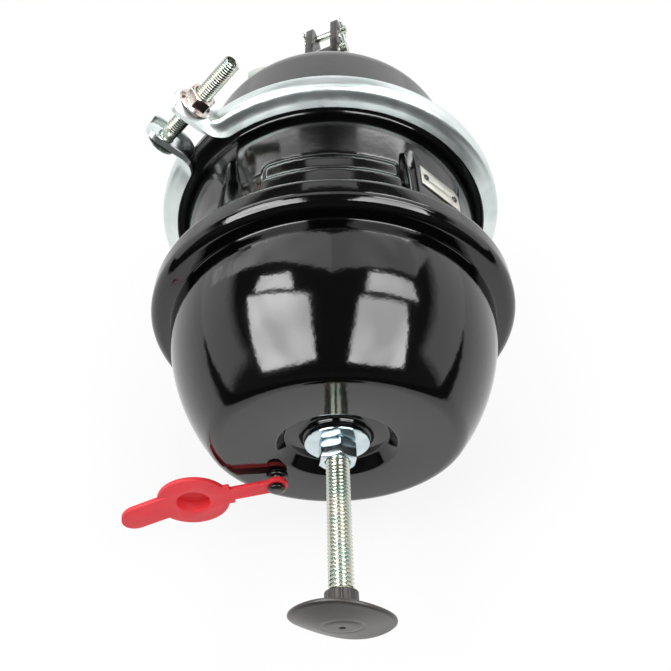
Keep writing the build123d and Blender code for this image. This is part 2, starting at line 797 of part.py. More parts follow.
# ---- springs ---------------------------------------------------------------
def coil(wire, turns, low_y, high_y, low_radius, high_radius):
    """Round wire wound about the axis from low_y to high_y, measured over the wire."""
    rise = high_y - low_y - 2 * wire
    lean = math.degrees(math.atan2(high_radius - low_radius, rise))
    path = Helix(rise / turns, rise, low_radius, cone_angle=lean)
    wound = sweep(Plane(path @ 0, z_dir=path % 0) * Circle(wire), path, is_frenet=True)
    return Pos(0, low_y + wire, 0) * (Rot(-90, 0, 0) * wound)


def power_spring():
    low = end_y + dish_depth + head_wall + seat_gap
    return coil(power_wire, power_turns, low, piston_y - piston_thick - seat_gap, power_small, power_large)


def adapter_return_spring():
    low = piston_y + diaphragm + 1.0
    return coil(inner_wire, inner_turns, low, web_y - web_thick - seat_gap, inner_small, inner_large)


def plate_y():
    return foot_y + foot_thick + seat_gap + diaphragm + seat_gap


def service_return_spring():
    low = plate_y() + plate_thick + seat_gap
    return coil(return_wire, return_turns, low, -sheet - seat_gap, return_large, return_small)


# ---- service push rod and clevis -------------------------------------------
def push_plate():
    low = plate_y()
    hole = push_rod_radius
    outline = polygon([
        (hole, low), (plate_radius - 3, low), (plate_radius, low + 1.5 * plate_thick),
        (plate_radius - 3, low + 1.5 * plate_thick),
        (plate_radius - 5, low + plate_thick), (hole, low + plate_thick)])
    return turn_about_axis(outline)


def clevis_low():
    return clevis_pin_place - ear_half - clevis_base - clevis_socket


def service_push_rod():
    low = plate_y()
    high = clevis_low() + clevis_socket + clevis_base - 1
    rod = disc(push_rod_radius, low, high)
    return chamfer(rod.edges().group_by(Axis.Y)[-1], 1.2)


def clevis_jam_nut():
    high = clevis_low() - 0.2
    low = high - jam_nut_height
    nut = chamfered_hexagon(jam_nut_across, low, high, 5)
    return nut - disc(push_rod_radius + fit_gap, low - 1, high + 1)


def ear_outline():
    """Side of the fork: wide at the clevis pin, narrowing to the link pin."""
    root = clevis_low() + clevis_socket
    with BuildSketch(Plane.YZ) as sketch:
        with BuildLine():
            tilt = math.asin((ear_half - ear_tip) / (link_pin_place - clevis_pin_place))
            tip = (link_pin_place + ear_tip * math.sin(tilt), ear_tip * math.cos(tilt))
            wide = (clevis_pin_place + ear_half * math.sin(tilt), ear_half * math.cos(tilt))
            Polyline((root, -ear_half), (root, ear_half), (clevis_pin_place, ear_half), wide, tip)
            ThreePointArc(tip, (link_pin_place + ear_tip, 0), (tip[0], -tip[1]))
            Polyline((tip[0], -tip[1]), (wide[0], -wide[1]), (clevis_pin_place, -ear_half),
                     (root, -ear_half))
        make_face()
    return sketch.sketch


def clevis():
    width = clevis_gap + 2 * ear_thick
    root = clevis_low() + clevis_socket
    fork = extrude(ear_outline(), amount=width / 2, both=True)
    fork -= Pos(0, (root + clevis_base + 2 * link_pin_place) / 2, 0) * Box(
        clevis_gap, 2 * link_pin_place - root - clevis_base, 4 * ear_half)
    fork += disc(clevis_neck, clevis_low(), root + 1)
    fork -= disc(push_rod_radius + fit_gap, clevis_low() - 1, root + clevis_base + 1)
    for place, radius in ((clevis_pin_place, clevis_pin_radius), (link_pin_place, link_pin_radius)):
        fork -= Pos(0, place, 0) * (Rot(0, 90, 0) * Cylinder(radius + fit_gap, 2 * width))
    return Rot(0, clevis_turn, 0) * fork


def cross_pin(radius, place, head):
    """Pin through both ears; the large one has a head at its lower end."""
    half = clevis_gap / 2 + ear_thick + pin_overhang
    body = Pos(0, place, 0) * (Rot(0, 90, 0) * Cylinder(radius, 2 * half))
    if head:
        low = -clevis_gap / 2 - ear_thick - 0.3
        body -= Pos(low - half, place, 0) * Box(2 * half, 4 * radius, 4 * radius)
        button = Rot(0, 90, 0) * Cylinder(radius + clevis_head_rim, clevis_head_thick)
        body += Pos(low - clevis_head_thick / 2, place, 0) * button
    for side in ((1,) if head else (1, -1)):
        body -= Pos(side * cotter_place(), place, 0) * Cylinder(cotter_radius + 0.1, 4 * radius)
    return Rot(0, clevis_turn, 0) * body


def cotter_place():
    return clevis_gap / 2 + ear_thick + 0.5 * pin_overhang + 0.4


def cotter(place, side, radius):
    """Split pin with its eye on one side and its legs spread on the other."""
    reach = radius + 3 * cotter_radius
    eye_radius = 2 * cotter_radius
    foot = Pos(0, 0, -reach + eye_radius)
    pin = foot * extrude(Circle(cotter_radius), amount=2 * reach - eye_radius)
    pin += Pos(0, 0, reach + eye_radius - 0.4) * (Rot(90, 0, 0) * Torus(eye_radius, cotter_wire))
    for spread in (145, 215):
        pin += foot * (Rot(0, spread, 0) * extrude(Circle(cotter_wire), amount=4 * cotter_radius))
    return Rot(0, clevis_turn, 0) * (Pos(side * cotter_place(), place, 0) * (Rot(0, 0, 90) * pin))


def link_cotters():
    return Compound(children=[cotter(link_pin_place, side, link_pin_radius) for side in (1, -1)])


# ---- release tag -----------------------------------------------------------
def tag_frame(solid):
    """Carry the flat tag, drawn along +X on z = 0, to its place on the head."""
    flat = Rot(90, 0, 0) * (Rot(0, -tag_pitch, 0) * solid)
    turned = Rot(0, -tag_turn, 0) * flat
    tilted = Rot(-tag_tilt, 0, 0) * turned
    return Pos(tag_x, end_y - tag_lift, tag_z) * tilted


def tag_tongue():
    """Pull tongue, bent a little away from the head where it leaves the disc."""
    bend = tag_disc_place + 0.6 * tag_disc
    length = tongue_end - tongue_width / 2 - bend
    outline = Pos(length / 2, 0) * Rectangle(length, tongue_width)
    outline += Pos(length, 0) * Circle(tongue_width / 2)
    tongue = extrude(outline, amount=tag_thick / 2, both=True)
    return Pos(bend, 0, 0) * (Rot(0, -tongue_pitch, 0) * tongue)


def release_tag():
    outline = Circle(tag_eye) + Pos(tag_disc_place, 0) * Circle(tag_disc)
    outline += Pos(tag_disc_place / 2, 0) * Rectangle(tag_disc_place, tag_strap)
    outline += Pos(tag_disc_place - tag_disc + 1.5, 0) * Rectangle(7, 1.6 * tag_strap)
    solid = extrude(outline, amount=tag_thick / 2, both=True) + tag_tongue()
    cup = Cylinder(tag_cup_radius + tag_cup_wall, tag_cup_depth + tag_cup_wall)
    solid += Pos(tag_disc_place, 0, -(tag_cup_depth + tag_cup_wall) / 2 + tag_thick / 2) * cup
    hollow = Pos(tag_disc_place, 0, tag_thick / 2 - tag_cup_depth / 2 + 1) * Cylinder(
        tag_cup_radius, tag_cup_depth + 2)
    solid -= hollow
    return tag_frame(solid - Cylinder(tag_shank + 0.7, 4 * tag_eye))


def tag_plug():
    """Push-in rivet that holds the tag: head, shank and a split cone inside the head."""
    outer = end_y - tag_lift
    face = face_at(math.hypot(tag_x, tag_z)) - 0.6
    inner = face + head_wall + 1.2
    outline = polygon([
        (0, outer - 4.2), (plug_head - 1.8, outer - 4.2), (plug_head, outer - 3.0),
        (plug_head, outer - 2.4),
        (tag_shank, outer - 2.4), (tag_shank, face - 1.2), (plug_collar, face - 1.2), (plug_collar, face),
        (tag_hole - 0.2, face), (tag_hole - 0.2, inner), (tag_hole + 1.2, inner + 0.6),
        (2.4, inner + 6.0), (0, inner + 6.0)])
    return Pos(tag_x, 0, tag_z) * turn_about_axis(outline)


parts = {
    "service_housing": service_housing,
    "mounting_studs": mounting_studs,
    "mounting_nuts": mounting_nuts,
    "push_rod_guide": push_rod_guide,
    "service_diaphragm": service_diaphragm,
    "service_return_spring": service_return_spring,
    "clamp_band_upper": lambda: clamp_band(True),
    "clamp_band_lower": lambda: clamp_band(False),
    "clamp_bolts": clamp_bolts,
    "clamp_nuts": clamp_nuts,
    "flange_case": flange_case,
    "centre_bush": centre_bush,
    "centre_seals": centre_seals,
    "nameplate": nameplate,
    "nameplate_screws": nameplate_screws,
    "adapter_return_spring": adapter_return_spring,
    "spring_diaphragm": spring_diaphragm,
    "power_spring": power_spring,
    "spring_housing": spring_housing,
    "release_washer": release_washer,
    "tag_plug": tag_plug,
    "spring_piston": spring_piston,
    "adapter_push_rod": adapter_push_rod,
    "adapter_foot": adapter_foot,
    "foot_screw": foot_screw_part,
    "release_bolt": release_bolt,
    "release_nut": release_nut,
    "dust_plug": dust_plug,
    "service_push_rod": service_push_rod,
    "push_plate": push_plate,
    "clevis_jam_nut": clevis_jam_nut,
    "clevis": clevis,
    "clevis_pin": lambda: cross_pin(clevis_pin_radius, clevis_pin_place, True),
    "clevis_cotter": lambda: cotter(clevis_pin_place, 1, clevis_pin_radius),
    "link_pin": lambda: cross_pin(link_pin_radius, link_pin_place, False),
    "link_cotters": link_cotters,
    "release_tag": release_tag,
}

for name, make in parts.items():
    one_part(make(), name)
    print("made", name)
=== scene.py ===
import bpy
import json
import math
from mathutils import Matrix, Vector

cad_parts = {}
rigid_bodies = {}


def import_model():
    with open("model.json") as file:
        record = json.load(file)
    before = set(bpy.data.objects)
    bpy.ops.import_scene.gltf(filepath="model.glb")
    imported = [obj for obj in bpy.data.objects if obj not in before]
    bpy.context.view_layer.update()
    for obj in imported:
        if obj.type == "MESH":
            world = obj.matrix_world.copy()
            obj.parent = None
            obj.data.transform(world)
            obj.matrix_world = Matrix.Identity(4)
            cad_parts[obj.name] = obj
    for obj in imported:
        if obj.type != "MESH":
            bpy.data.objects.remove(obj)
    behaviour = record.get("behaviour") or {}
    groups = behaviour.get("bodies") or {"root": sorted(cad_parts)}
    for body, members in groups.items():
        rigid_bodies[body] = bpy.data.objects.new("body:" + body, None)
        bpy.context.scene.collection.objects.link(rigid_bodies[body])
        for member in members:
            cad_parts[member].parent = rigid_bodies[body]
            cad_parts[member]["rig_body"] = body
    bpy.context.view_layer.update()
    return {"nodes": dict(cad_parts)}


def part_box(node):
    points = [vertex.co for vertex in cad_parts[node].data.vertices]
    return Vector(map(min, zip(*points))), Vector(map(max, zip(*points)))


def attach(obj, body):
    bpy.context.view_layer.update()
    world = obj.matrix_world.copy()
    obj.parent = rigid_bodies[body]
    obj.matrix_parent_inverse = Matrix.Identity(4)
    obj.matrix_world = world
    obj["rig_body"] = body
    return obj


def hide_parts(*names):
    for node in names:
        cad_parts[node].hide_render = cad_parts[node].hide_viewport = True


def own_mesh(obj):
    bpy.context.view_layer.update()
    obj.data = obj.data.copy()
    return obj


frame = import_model()
mm = 0.001
print("frame loaded")


# the materials that the pieces are made of
def linear(hexColour):
    # sRGB hex to the linear value that a shader takes
    parts = [int(hexColour[i:i + 2], 16) / 255 for i in (1, 3, 5)]
    return tuple(p / 12.92 if p <= 0.04045 else ((p + 0.055) / 1.055) ** 2.4 for p in parts) + (1.0,)


def addNode(tree, kind, settings=None, links=None):
    node = tree.nodes.new("ShaderNode" + kind)
    for key, value in (settings or {}).items():
        if isinstance(key, int) or key in node.inputs:
            node.inputs[key].default_value = value
        else:
            setattr(node, key, value)
    for key, source in (links or {}).items():
        tree.links.new(source, node.inputs[key])
    return node


def newMaterial(name):
    material = bpy.data.materials.new(name)
    material.use_nodes = True
    tree = material.node_tree
    shader = tree.nodes["Principled BSDF"]
    place = addNode(tree, "TexCoord")
    return material, tree, shader, place.outputs["Object"]


def perMetre(sizeMm):
    # noise scale whose features are about this many millimetres across
    return 1000.0 / sizeMm


noiseTop = 0.7  # noise seldom rises past this


def finishShader(tree, shader, tint, gloss, relief):
    # colour from a pattern and its stops; roughness from a pattern, where it starts, the least and the
    # spread; bumps from a pattern, their strength and their depth in millimetres
    pattern, stops = tint
    colour = addNode(tree, "ValToRGB", {}, {"Fac": pattern.outputs[0]})
    for element, (position, hexColour) in zip(colour.color_ramp.elements, stops):
        element.position = position
        element.color = linear(hexColour)
    pattern, start, least, spread = gloss
    rough = addNode(tree, "MapRange",
                    {"From Min": start, "From Max": noiseTop, "To Min": least, "To Max": least + spread},
                    {"Value": pattern.outputs[0]})
    pattern, strength, depth = relief
    bump = addNode(tree, "Bump", {"Strength": strength, "Distance": depth * mm},
                   {"Height": pattern.outputs[0]})
    tree.links.new(colour.outputs["Color"], shader.inputs["Base Color"])
    tree.links.new(rough.outputs["Result"], shader.inputs["Roughness"])
    tree.links.new(bump.outputs["Normal"], shader.inputs["Normal"])


enamel = {
    "colour": "#040404", "dustColour": "#201f1e", "ior": 1.56, "speckMm": 1.1,
    "fineMm": 1.2, "fineShare": 0.18, "hazeMm": 60.0, "hazeSpread": 0.05,
}


def glossEnamel(name, peelStrength, peelMm, roughness):
    # black stoving enamel, sprayed: deep gloss with a faint orange peel and a few dust specks
    material, tree, shader, place = newMaterial(name)
    shader.inputs["IOR"].default_value = enamel["ior"]
    peel = addNode(tree, "TexNoise", {"Scale": perMetre(peelMm), "Detail": 2.0}, {"Vector": place})
    fine = addNode(tree, "TexNoise", {"Scale": perMetre(enamel["fineMm"]), "Detail": 2.0}, {"Vector": place})
    both = addNode(tree, "Math", {"operation": "MULTIPLY_ADD", 1: enamel["fineShare"]},
                   {0: fine.outputs["Fac"], 2: peel.outputs["Fac"]})
    specks = addNode(tree, "TexNoise", {"Scale": perMetre(enamel["speckMm"]), "Detail": 1.0},
                     {"Vector": place})
    haze = addNode(tree, "TexNoise", {"Scale": perMetre(enamel["hazeMm"]), "Detail": 4.0}, {"Vector": place})
    finishShader(tree, shader, (specks, [(0.76, enamel["colour"]), (0.80, enamel["dustColour"])]),
                 (haze, 0.3, roughness, enamel["hazeSpread"]), (both, peelStrength, 1.0))
    return material


metal = {"handlingMm": 6.0, "handlingSpread": 0.07, "bumpDepth": 0.4}


def driftedMetal(name, pale, tint, roughness, driftMm, bumpStrength=0.03):
    # plated or bare metal: one smooth tint drifts into another, and handling has dulled its gloss in places
    material, tree, shader, place = newMaterial(name)
    shader.inputs["Metallic"].default_value = 1.0
    drift = addNode(tree, "TexNoise", {"Scale": perMetre(driftMm), "Detail": 3.0}, {"Vector": place})
    handling = addNode(tree, "TexNoise", {"Scale": perMetre(metal["handlingMm"]), "Detail": 2.0},
                       {"Vector": place})
    finishShader(tree, shader, (drift, [(0.36, pale), (0.66, tint)]),
                 (handling, 0.35, roughness, metal["handlingSpread"]),
                 (handling, bumpStrength, metal["bumpDepth"]))
    return material


plastic = {
    "ior": 1.49, "driftMm": 14.0, "grainMm": 0.5, "grainSpread": 0.1, "bumpStrength": 0.08, "bumpDepth": 0.3,
}


def mouldedPlastic(name, colour, deep, roughness):
    # injection moulded plastic or rubber: even colour, fine grain, soft gloss
    material, tree, shader, place = newMaterial(name)
    shader.inputs["IOR"].default_value = plastic["ior"]
    drift = addNode(tree, "TexNoise", {"Scale": perMetre(plastic["driftMm"]), "Detail": 3.0},
                    {"Vector": place})
    grain = addNode(tree, "TexNoise", {"Scale": perMetre(plastic["grainMm"]), "Detail": 2.0},
                    {"Vector": place})
    finishShader(tree, shader, (drift, [(0.3, deep), (0.6, colour)]),
                 (grain, 0.3, roughness, plastic["grainSpread"]),
                 (grain, plastic["bumpStrength"], plastic["bumpDepth"]))
    return material


finishes = {
    # stoved on smooth pressed steel: near a mirror, with a slight ripple
    "headEnamel": glossEnamel("headEnamel", 0.045, 4.5, 0.05),
    # stoved on a casting: as black, with a softer gloss
    "castEnamel": glossEnamel("castEnamel", 0.025, 3.2, 0.085),
    # zinc plate on rolled strip: pale and silky, clear passivated
    "clampZinc": driftedMetal("clampZinc", "#e0e6e6", "#cbd7d5", 0.29, 24.0, 0.008),
    # zinc plate on turned steel: bright, each kind with its own passivation tint
    "boltZinc": driftedMetal("boltZinc", "#d4d3c6", "#bccac2", 0.15, 9.0),
    "nutZinc": driftedMetal("nutZinc", "#d6e2e5", "#bfd0d6", 0.13, 10.0),
    "nutPink": driftedMetal("nutPink", "#dcc3b8", "#cdd0cc", 0.15, 8.0),
    # bare and forged steel: dark, with a broad dull shine
    "darkSteel": driftedMetal("darkSteel", "#7d7b78", "#5f5d5b", 0.36, 6.0),
    "forkSteel": driftedMetal("forkSteel", "#55524f", "#3f3d3b", 0.34, 5.0),
    # moulded plastic: a strong satin red, and blacks from satin to nearly glossy
    "tagRed": mouldedPlastic("tagRed", "#dd2832", "#cf212c", 0.46),
    "plugBlack": mouldedPlastic("plugBlack", "#3b3734", "#312e2b", 0.30),
    "rivetBlack": mouldedPlastic("rivetBlack", "#171617", "#0f0e10", 0.22),
    # moulded rubber: matt black
    "rubberBlack": mouldedPlastic("rubberBlack", "#1c1b1b", "#141313", 0.55),
    # aluminium foil plate: pale, with a dull sheen
    "plateFoil": driftedMetal("plateFoil", "#d8d6cd", "#c4c1b8", 0.36, 6.0),
    # sintered bronze: warm brown metal
    "bronzeBush": driftedMetal("bronzeBush", "#b9925a", "#a67f4c", 0.36, 6.0),
}

# the CAD nodes that each finish is on
finishNodes = {
    "headEnamel": ("service_housing", "spring_housing"),
    "castEnamel": ("flange_case",),
    "clampZinc": ("clamp_band_upper", "clamp_band_lower"),
    "boltZinc": ("mounting_studs", "mounting_nuts", "clamp_bolts", "adapter_push_rod", "foot_screw",
                 "release_bolt", "service_push_rod", "clevis_jam_nut", "clevis_pin", "clevis_cotter",
                 "link_pin", "link_cotters"),
    "nutZinc": ("release_washer", "release_nut"),
    "nutPink": ("clamp_nuts",),
    "darkSteel": ("service_return_spring", "adapter_return_spring", "power_spring", "spring_piston",
                  "adapter_foot", "push_plate"),
    "forkSteel": ("clevis",),
    "tagRed": ("release_tag",),
    "plugBlack": ("push_rod_guide", "dust_plug"),
    "rivetBlack": ("nameplate_screws", "tag_plug"),
    "rubberBlack": ("service_diaphragm", "centre_seals", "spring_diaphragm"),
    "plateFoil": ("nameplate",),
    "bronzeBush": ("centre_bush",),
}


def coated(piece, finish):
    piece.data.materials.clear()
    piece.data.materials.append(finish)
    return piece


finishOf = {}
for finishName, nodeNames in finishNodes.items():
    for nodeName in nodeNames:
        finishOf[nodeName] = finishes[finishName]
        coated(frame["nodes"][nodeName], finishOf[nodeName])

# a return spring shortens as its joint moves: each one's joint, the seat that stays put and the stroke, in
# millimetres; here each spring only gets a mesh of its own
returnSprings = {
    "service_return_spring": {"joint": "service_rod_slide", "seat": -3.0, "stroke": 63.5},
    "adapter_return_spring": {"joint": "spring_piston_slide", "seat": -122.5, "stroke": 63.5},
}
for nodeName, spring in returnSprings.items():
    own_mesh(frame["nodes"][nodeName])
print("finishes assigned")


# helpers for the modelled pieces
mergeReach = 0.00001  # corners nearer than this, in metres, become one


def drawnLine(name, points):
    # a line drawn point by point, in millimetres, from a plane merged to one vertex
    bpy.ops.object.select_all(action="DESELECT")
    bpy.ops.mesh.primitive_plane_add(size=mm)
    piece = bpy.context.object
    piece.name = piece.data.name = name
    bpy.ops.object.mode_set(mode="EDIT")
    bpy.ops.mesh.select_mode(type="VERT")
    bpy.ops.mesh.select_all(action="SELECT")
    bpy.ops.mesh.merge(type="CENTER")
    points = [Vector((r, y, 0.0)) * mm for r, y in points]
    bpy.ops.transform.translate(value=points[0])
    for before, after in zip(points, points[1:]):
        bpy.ops.mesh.extrude_region_move(TRANSFORM_OT_translate={"value": after - before})
    bpy.ops.mesh.select_all(action="SELECT")
    return piece


def pickOnly(*pieces):
    bpy.ops.object.select_all(action="DESELECT")
    for piece in pieces:
        piece.select_set(True)
    bpy.context.view_layer.objects.active = pieces[0]


def smoothed(piece, sharpAngle):
    pickOnly(piece)
    bpy.ops.object.shade_smooth_by_angle(angle=math.radians(sharpAngle))
    return piece


def weldAndSmooth(piece, sharpAngle):
    # leaves edit mode with doubles merged, faces outwards and only real edges sharp
    bpy.ops.mesh.select_all(action="SELECT")
    bpy.ops.mesh.remove_doubles(threshold=mergeReach)
    bpy.ops.mesh.normals_make_consistent(inside=False)
    bpy.ops.object.mode_set(mode="OBJECT")
    return smoothed(piece, sharpAngle)


def turned(name, profile, steps, sharpAngle=35):
    # a profile of (radius, place along Y) spun about the Y axis; it is closed at the end
    piece = drawnLine(name, profile + profile[:1])
    bpy.ops.mesh.spin(steps=steps, angle=math.tau, center=(0, 0, 0), axis=(0, 1, 0))
    return weldAndSmooth(piece, sharpAngle)


def bend(centre, radius, start, end, count):
    # points of an arc in a profile; angles in degrees from +radius towards +Y
    turns = [math.radians(start + (end - start) * i / count) for i in range(count + 1)]
    return [(centre[0] + radius * math.cos(a), centre[1] + radius * math.sin(a)) for a in turns]


def newCube(size):
    bpy.ops.object.select_all(action="DESELECT")
    bpy.ops.mesh.primitive_cube_add(size=size)
    return bpy.context.object


def applied(piece, kind, **settings):
    pickOnly(piece)
    modifier = piece.modifiers.new(kind.lower(), kind)
    for key, value in settings.items():
        setattr(modifier, key, value)
    bpy.ops.object.modifier_apply(modifier=modifier.name)
    return piece


def carved(piece, cutter, operation):
    applied(piece, "BOOLEAN", operation=operation, object=cutter, solver="EXACT")
    bpy.data.objects.remove(cutter)
    return piece


def joined(first, *others):
    pickOnly(first, *others)
    bpy.ops.object.join()
    return first


def copied(piece, name):
    twin = piece.copy()
    twin.data = piece.data.copy()
    twin.name = twin.data.name = name
    bpy.context.scene.collection.objects.link(twin)
    return twin


def moved(piece, matrix):
    piece.data.transform(matrix)
    return piece


def slid(x, y, z):
    return Matrix.Translation(Vector((x, y, z)) * mm)


def swung(degrees, axis="Y"):
    return Matrix.Rotation(math.radians(degrees), 4, axis)


def fitted(piece, nodeName):
    # the piece stands for a CAD node: it takes the node's finish and body, and the node is hidden
    coated(piece, finishOf[nodeName])
    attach(piece, frame["nodes"][nodeName]["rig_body"])
    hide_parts(nodeName)
    return piece


def nodeCopy(nodeName, name):
    # a free copy of a CAD node with its loose triangles merged, left in edit mode with all of it selected
    piece = copied(frame["nodes"][nodeName], name)
    piece.parent = None
    for key in list(piece.keys()):
        del piece[key]
    pickOnly(piece)
    bpy.ops.object.mode_set(mode="EDIT")
    bpy.ops.mesh.select_all(action="SELECT")
    bpy.ops.mesh.customdata_custom_splitnormals_clear()
    bpy.ops.mesh.remove_doubles(threshold=mergeReach / 2)
    return piece


rounding = {"segments": 2, "cornerAngle": 30, "flatAngle": 0.6, "smoothAngle": 40}


def eased(nodeName, name, width):
    # a copy of a CAD node with its flat faces merged and its sharp edges rounded
    piece = nodeCopy(nodeName, name)
    bpy.ops.mesh.dissolve_limited(angle_limit=math.radians(rounding["flatAngle"]))
    bpy.ops.object.mode_set(mode="OBJECT")
    applied(piece, "BEVEL", width=width * mm, segments=rounding["segments"], limit_method="ANGLE",
            angle_limit=math.radians(rounding["cornerAngle"]), use_clamp_overlap=True, harden_normals=False)
    return smoothed(piece, rounding["smoothAngle"])


# spring housing: pressed head with a dished end and a crimped rim, its points as (radius, place along Y)
head = {
    "sideRadius": 118.0, "sideCentre": (-21.1, -186.5), "wall": 4.0,
    "cornerRadius": 10.0, "cornerCentre": (62.8, -254.5), "cornerAngle": -38.9,
    "boreRadius": 7.4, "seat": -258.5, "floor": -256.0, "floorEdge": 27.2,
    # the press step from the raised seat to the floor round it
    "step": [(18.3, -258.5), (18.8, -258.3), (19.2, -257.6), (19.5, -256.7), (20.2, -256.1), (21.2, -256.0)],
    "lipRadius": 2.2, "lipFoot": (27.4, -258.2), "lipTop": (34.3, -260.9),
    "rim": 109.4, "rimFront": -189.2, "rimBack": -169.2, "frontRound": 6.6, "backRound": 6.8,
    "crease": 1.2, "creaseSet": 0.2, "tuck": [(99.2, -169.25), (98.75, -169.4), (98.55, -169.9)],
    "rimInside": [(101.05, -172.6), (101.05, -180.7), (99.0, -182.2), (92.8, -182.2)],
    "endInside": [(66.0, -259.6), (62.8, -260.5), (37.2, -258.0), (31.2, -252.0)], "boreTop": -252.0,
    "steps": 168, "sharpAngle": 50,
}


def springHead():
    # outer skin from the bore out to the rim's tuck, then the inner skin back to the bore
    centre, corner = head["sideCentre"], head["cornerCentre"]
    front, back, crease = head["frontRound"], head["backRound"], head["crease"]
    creaseY = head["rimFront"] + head["creaseSet"] - crease
    sideEnd = math.degrees(math.asin((creaseY - centre[1]) / head["sideRadius"]))
    neck = centre[0] + head["sideRadius"] * math.cos(math.radians(sideEnd)) + crease
    outside = [(head["boreRadius"], head["seat"])] + head["step"] + [(head["floorEdge"], head["floor"])]
    outside += bend(head["lipFoot"], head["lipRadius"], 84, 34, 5)
    outside += bend(head["lipTop"], head["lipRadius"], 216, 266, 6)
    outside += bend(corner, head["cornerRadius"], -93, head["cornerAngle"], 12)
    outside += bend(centre, head["sideRadius"], head["cornerAngle"] - 0.2, sideEnd, 44)[1:]
    outside += bend((neck, creaseY), crease, 180, 92, 5)[1:]
    outside += bend((head["rim"] - front, head["rimFront"] + front), front, -88, 0, 14)
    outside += bend((head["rim"] - back, head["rimBack"] - back), back, 0, 84, 14)
    inside = head["tuck"] + head["rimInside"]
    inside += bend(centre, head["sideRadius"] - head["wall"], 0, head["cornerAngle"], 16)[1:]
    inside += head["endInside"] + [(head["boreRadius"], head["boreTop"])]
    return turned("springHead", outside + inside, head["steps"], head["sharpAngle"])


fitted(springHead(), "spring_housing")
print("spring housing turned")


# cast flange case: the solid's copy, with the fillets a casting has
casting = {
    "voxel": 1.25, "filletFactor": 0.5, "filletPasses": 11, "inner": 88.0, "wall": 92.0, "tuck": 0.4,
    "flareTop": 98.5, "flareEnd": -99.5, "flareStart": -137.0, "flareSteps": 120,
    "flangeEdge": 102.3, "flangeFace": -99.1, "flangeBack": -95.5,
    "plateTurn": 42.8, "plateHeight": 92.5, "plateMargin": 2.5, "padWidth": 38.0, "padDepth": 20.0,
    # where ribs are taken down to the wall: the stretch along Y, and the turns in degrees
    "clearY": (-168.5, -100.5), "clearTurns": ((-41.0, -22.5), (24.3, 29.7)),
    "insideRadius": 89.5, "kept": 0.62,
    # each fin's turn, its tip's place, its half width at rim and tip, and its rise at the rim
    "fins": ((-36.0, -114.0, 10.5, 4.2, 12.5), (26.3, -121.0, 7.6, 3.2, 11.0)),
    "finRim": -170.0, "finCuts": 17, "finTaper": 0.8, "finFall": 0.45, "finCrest": 1.8,
    "finSink": 0.5, "finRoot": 3.0,
}


def wallRadius(y):
    # the plain wall up to the flare's start, then a cone out to the flange
    low, high, tuck = casting["flareStart"], casting["flareEnd"], casting["tuck"]
    share = (y - low) / (high - low)
    rise = casting["flareTop"] - casting["wall"] + tuck
    return casting["wall"] if share < 0 else casting["wall"] - tuck + share * rise


def castFin(fin):
    # a horn of metal that is widest at the rim and ends in a blunt tip on the wall
    turn, tip, halfRim, halfTip, rise = fin
    piece = newCube(2.0)
    bpy.ops.object.mode_set(mode="EDIT")
    bpy.ops.mesh.select_all(action="SELECT")
    bpy.ops.mesh.subdivide(number_cuts=casting["finCuts"])
    bpy.ops.object.mode_set(mode="OBJECT")
    for vertex in piece.data.vertices:
        along, up = (vertex.co.y + 1) / 2, (vertex.co.z + 1) / 2
        y = casting["finRim"] + (tip - casting["finRim"]) * along
        x = vertex.co.x * (halfRim + (halfTip - halfRim) * along ** casting["finTaper"])
        ridge = rise * (1 - casting["finFall"] * along) * math.sqrt(1 - along ** 4)
        bell = ((1 + math.cos(math.pi * vertex.co.x)) / 2) ** casting["finCrest"]
        wall = math.sqrt((wallRadius(y) - casting["finSink"]) ** 2 - x * x)
        vertex.co = Vector((x, y, wall - casting["finRoot"] * (1 - up) + ridge * bell * up)) * mm
    bpy.ops.object.shade_smooth()
    return moved(piece, swung(turn))


def wallFlare():
    # the cone that widens the wall out to the flange, cut away over the nameplate's pad
    inner, foot = casting["inner"], casting["wall"] - casting["tuck"]
    flare = turned("flare", [
        (inner, casting["flareStart"]), (foot, casting["flareStart"]),
        (casting["flareTop"], casting["flareEnd"]), (casting["flangeEdge"], casting["flangeFace"]),
        (casting["flangeEdge"], casting["flangeBack"]), (inner, casting["flangeBack"])],
        casting["flareSteps"])
    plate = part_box("nameplate")
    low = plate[0].y / mm - casting["plateMargin"]
    high = plate[1].y / mm + casting["plateMargin"]
    lift = slid(0, (low + high) / 2, casting["plateHeight"] + casting["padDepth"] / 2)
    stretch = Matrix.Diagonal((casting["padWidth"], high - low, casting["padDepth"], 1.0))
    pad = moved(newCube(1.0), swung(casting["plateTurn"]) @ lift @ Matrix.Scale(mm, 4) @ stretch)
    return carved(flare, pad, "DIFFERENCE")


def clearWall(piece):
    # takes the solid's ribs and the left end of its bands down to the wall, which the fins stand on
    low, high = casting["clearY"]
    for vertex in piece.data.vertices:
        x, y, z = vertex.co
        radius = math.hypot(x, z) / mm
        turn = math.degrees(math.atan2(x, z))
        ground = wallRadius(y / mm)
        cleared = any(first < turn < last for first, last in casting["clearTurns"])
        if cleared and low < y / mm < high and radius > ground:
            vertex.co = Vector((x * ground / radius, y, z * ground / radius))


def recast(piece):
    applied(piece, "REMESH", mode="VOXEL", voxel_size=casting["voxel"] * mm, use_smooth_shade=True)


def castCase():
    # the solid's copy with the flare joined on, filleted as a casting is, and then its fins
    piece = nodeCopy("flange_case", "caseCasting")
    bpy.ops.object.mode_set(mode="OBJECT")
    joined(piece, wallFlare())
    recast(piece)
    clearWall(piece)
    recast(piece)
    applied(piece, "SMOOTH", factor=casting["filletFactor"], iterations=casting["filletPasses"])
    # the hidden inner faces need far fewer triangles than the outer ones
    reach = casting["insideRadius"] * mm
    inside = piece.vertex_groups.new(name="inside")
    inside.add([v.index for v in piece.data.vertices if math.hypot(v.co.x, v.co.z) < reach], 1.0, "ADD")
    applied(piece, "DECIMATE", ratio=casting["kept"], vertex_group="inside")
    piece.vertex_groups.clear()
    return joined(piece, *[castFin(fin) for fin in casting["fins"]])


fitted(castCase(), "flange_case")
print("flange case filleted")


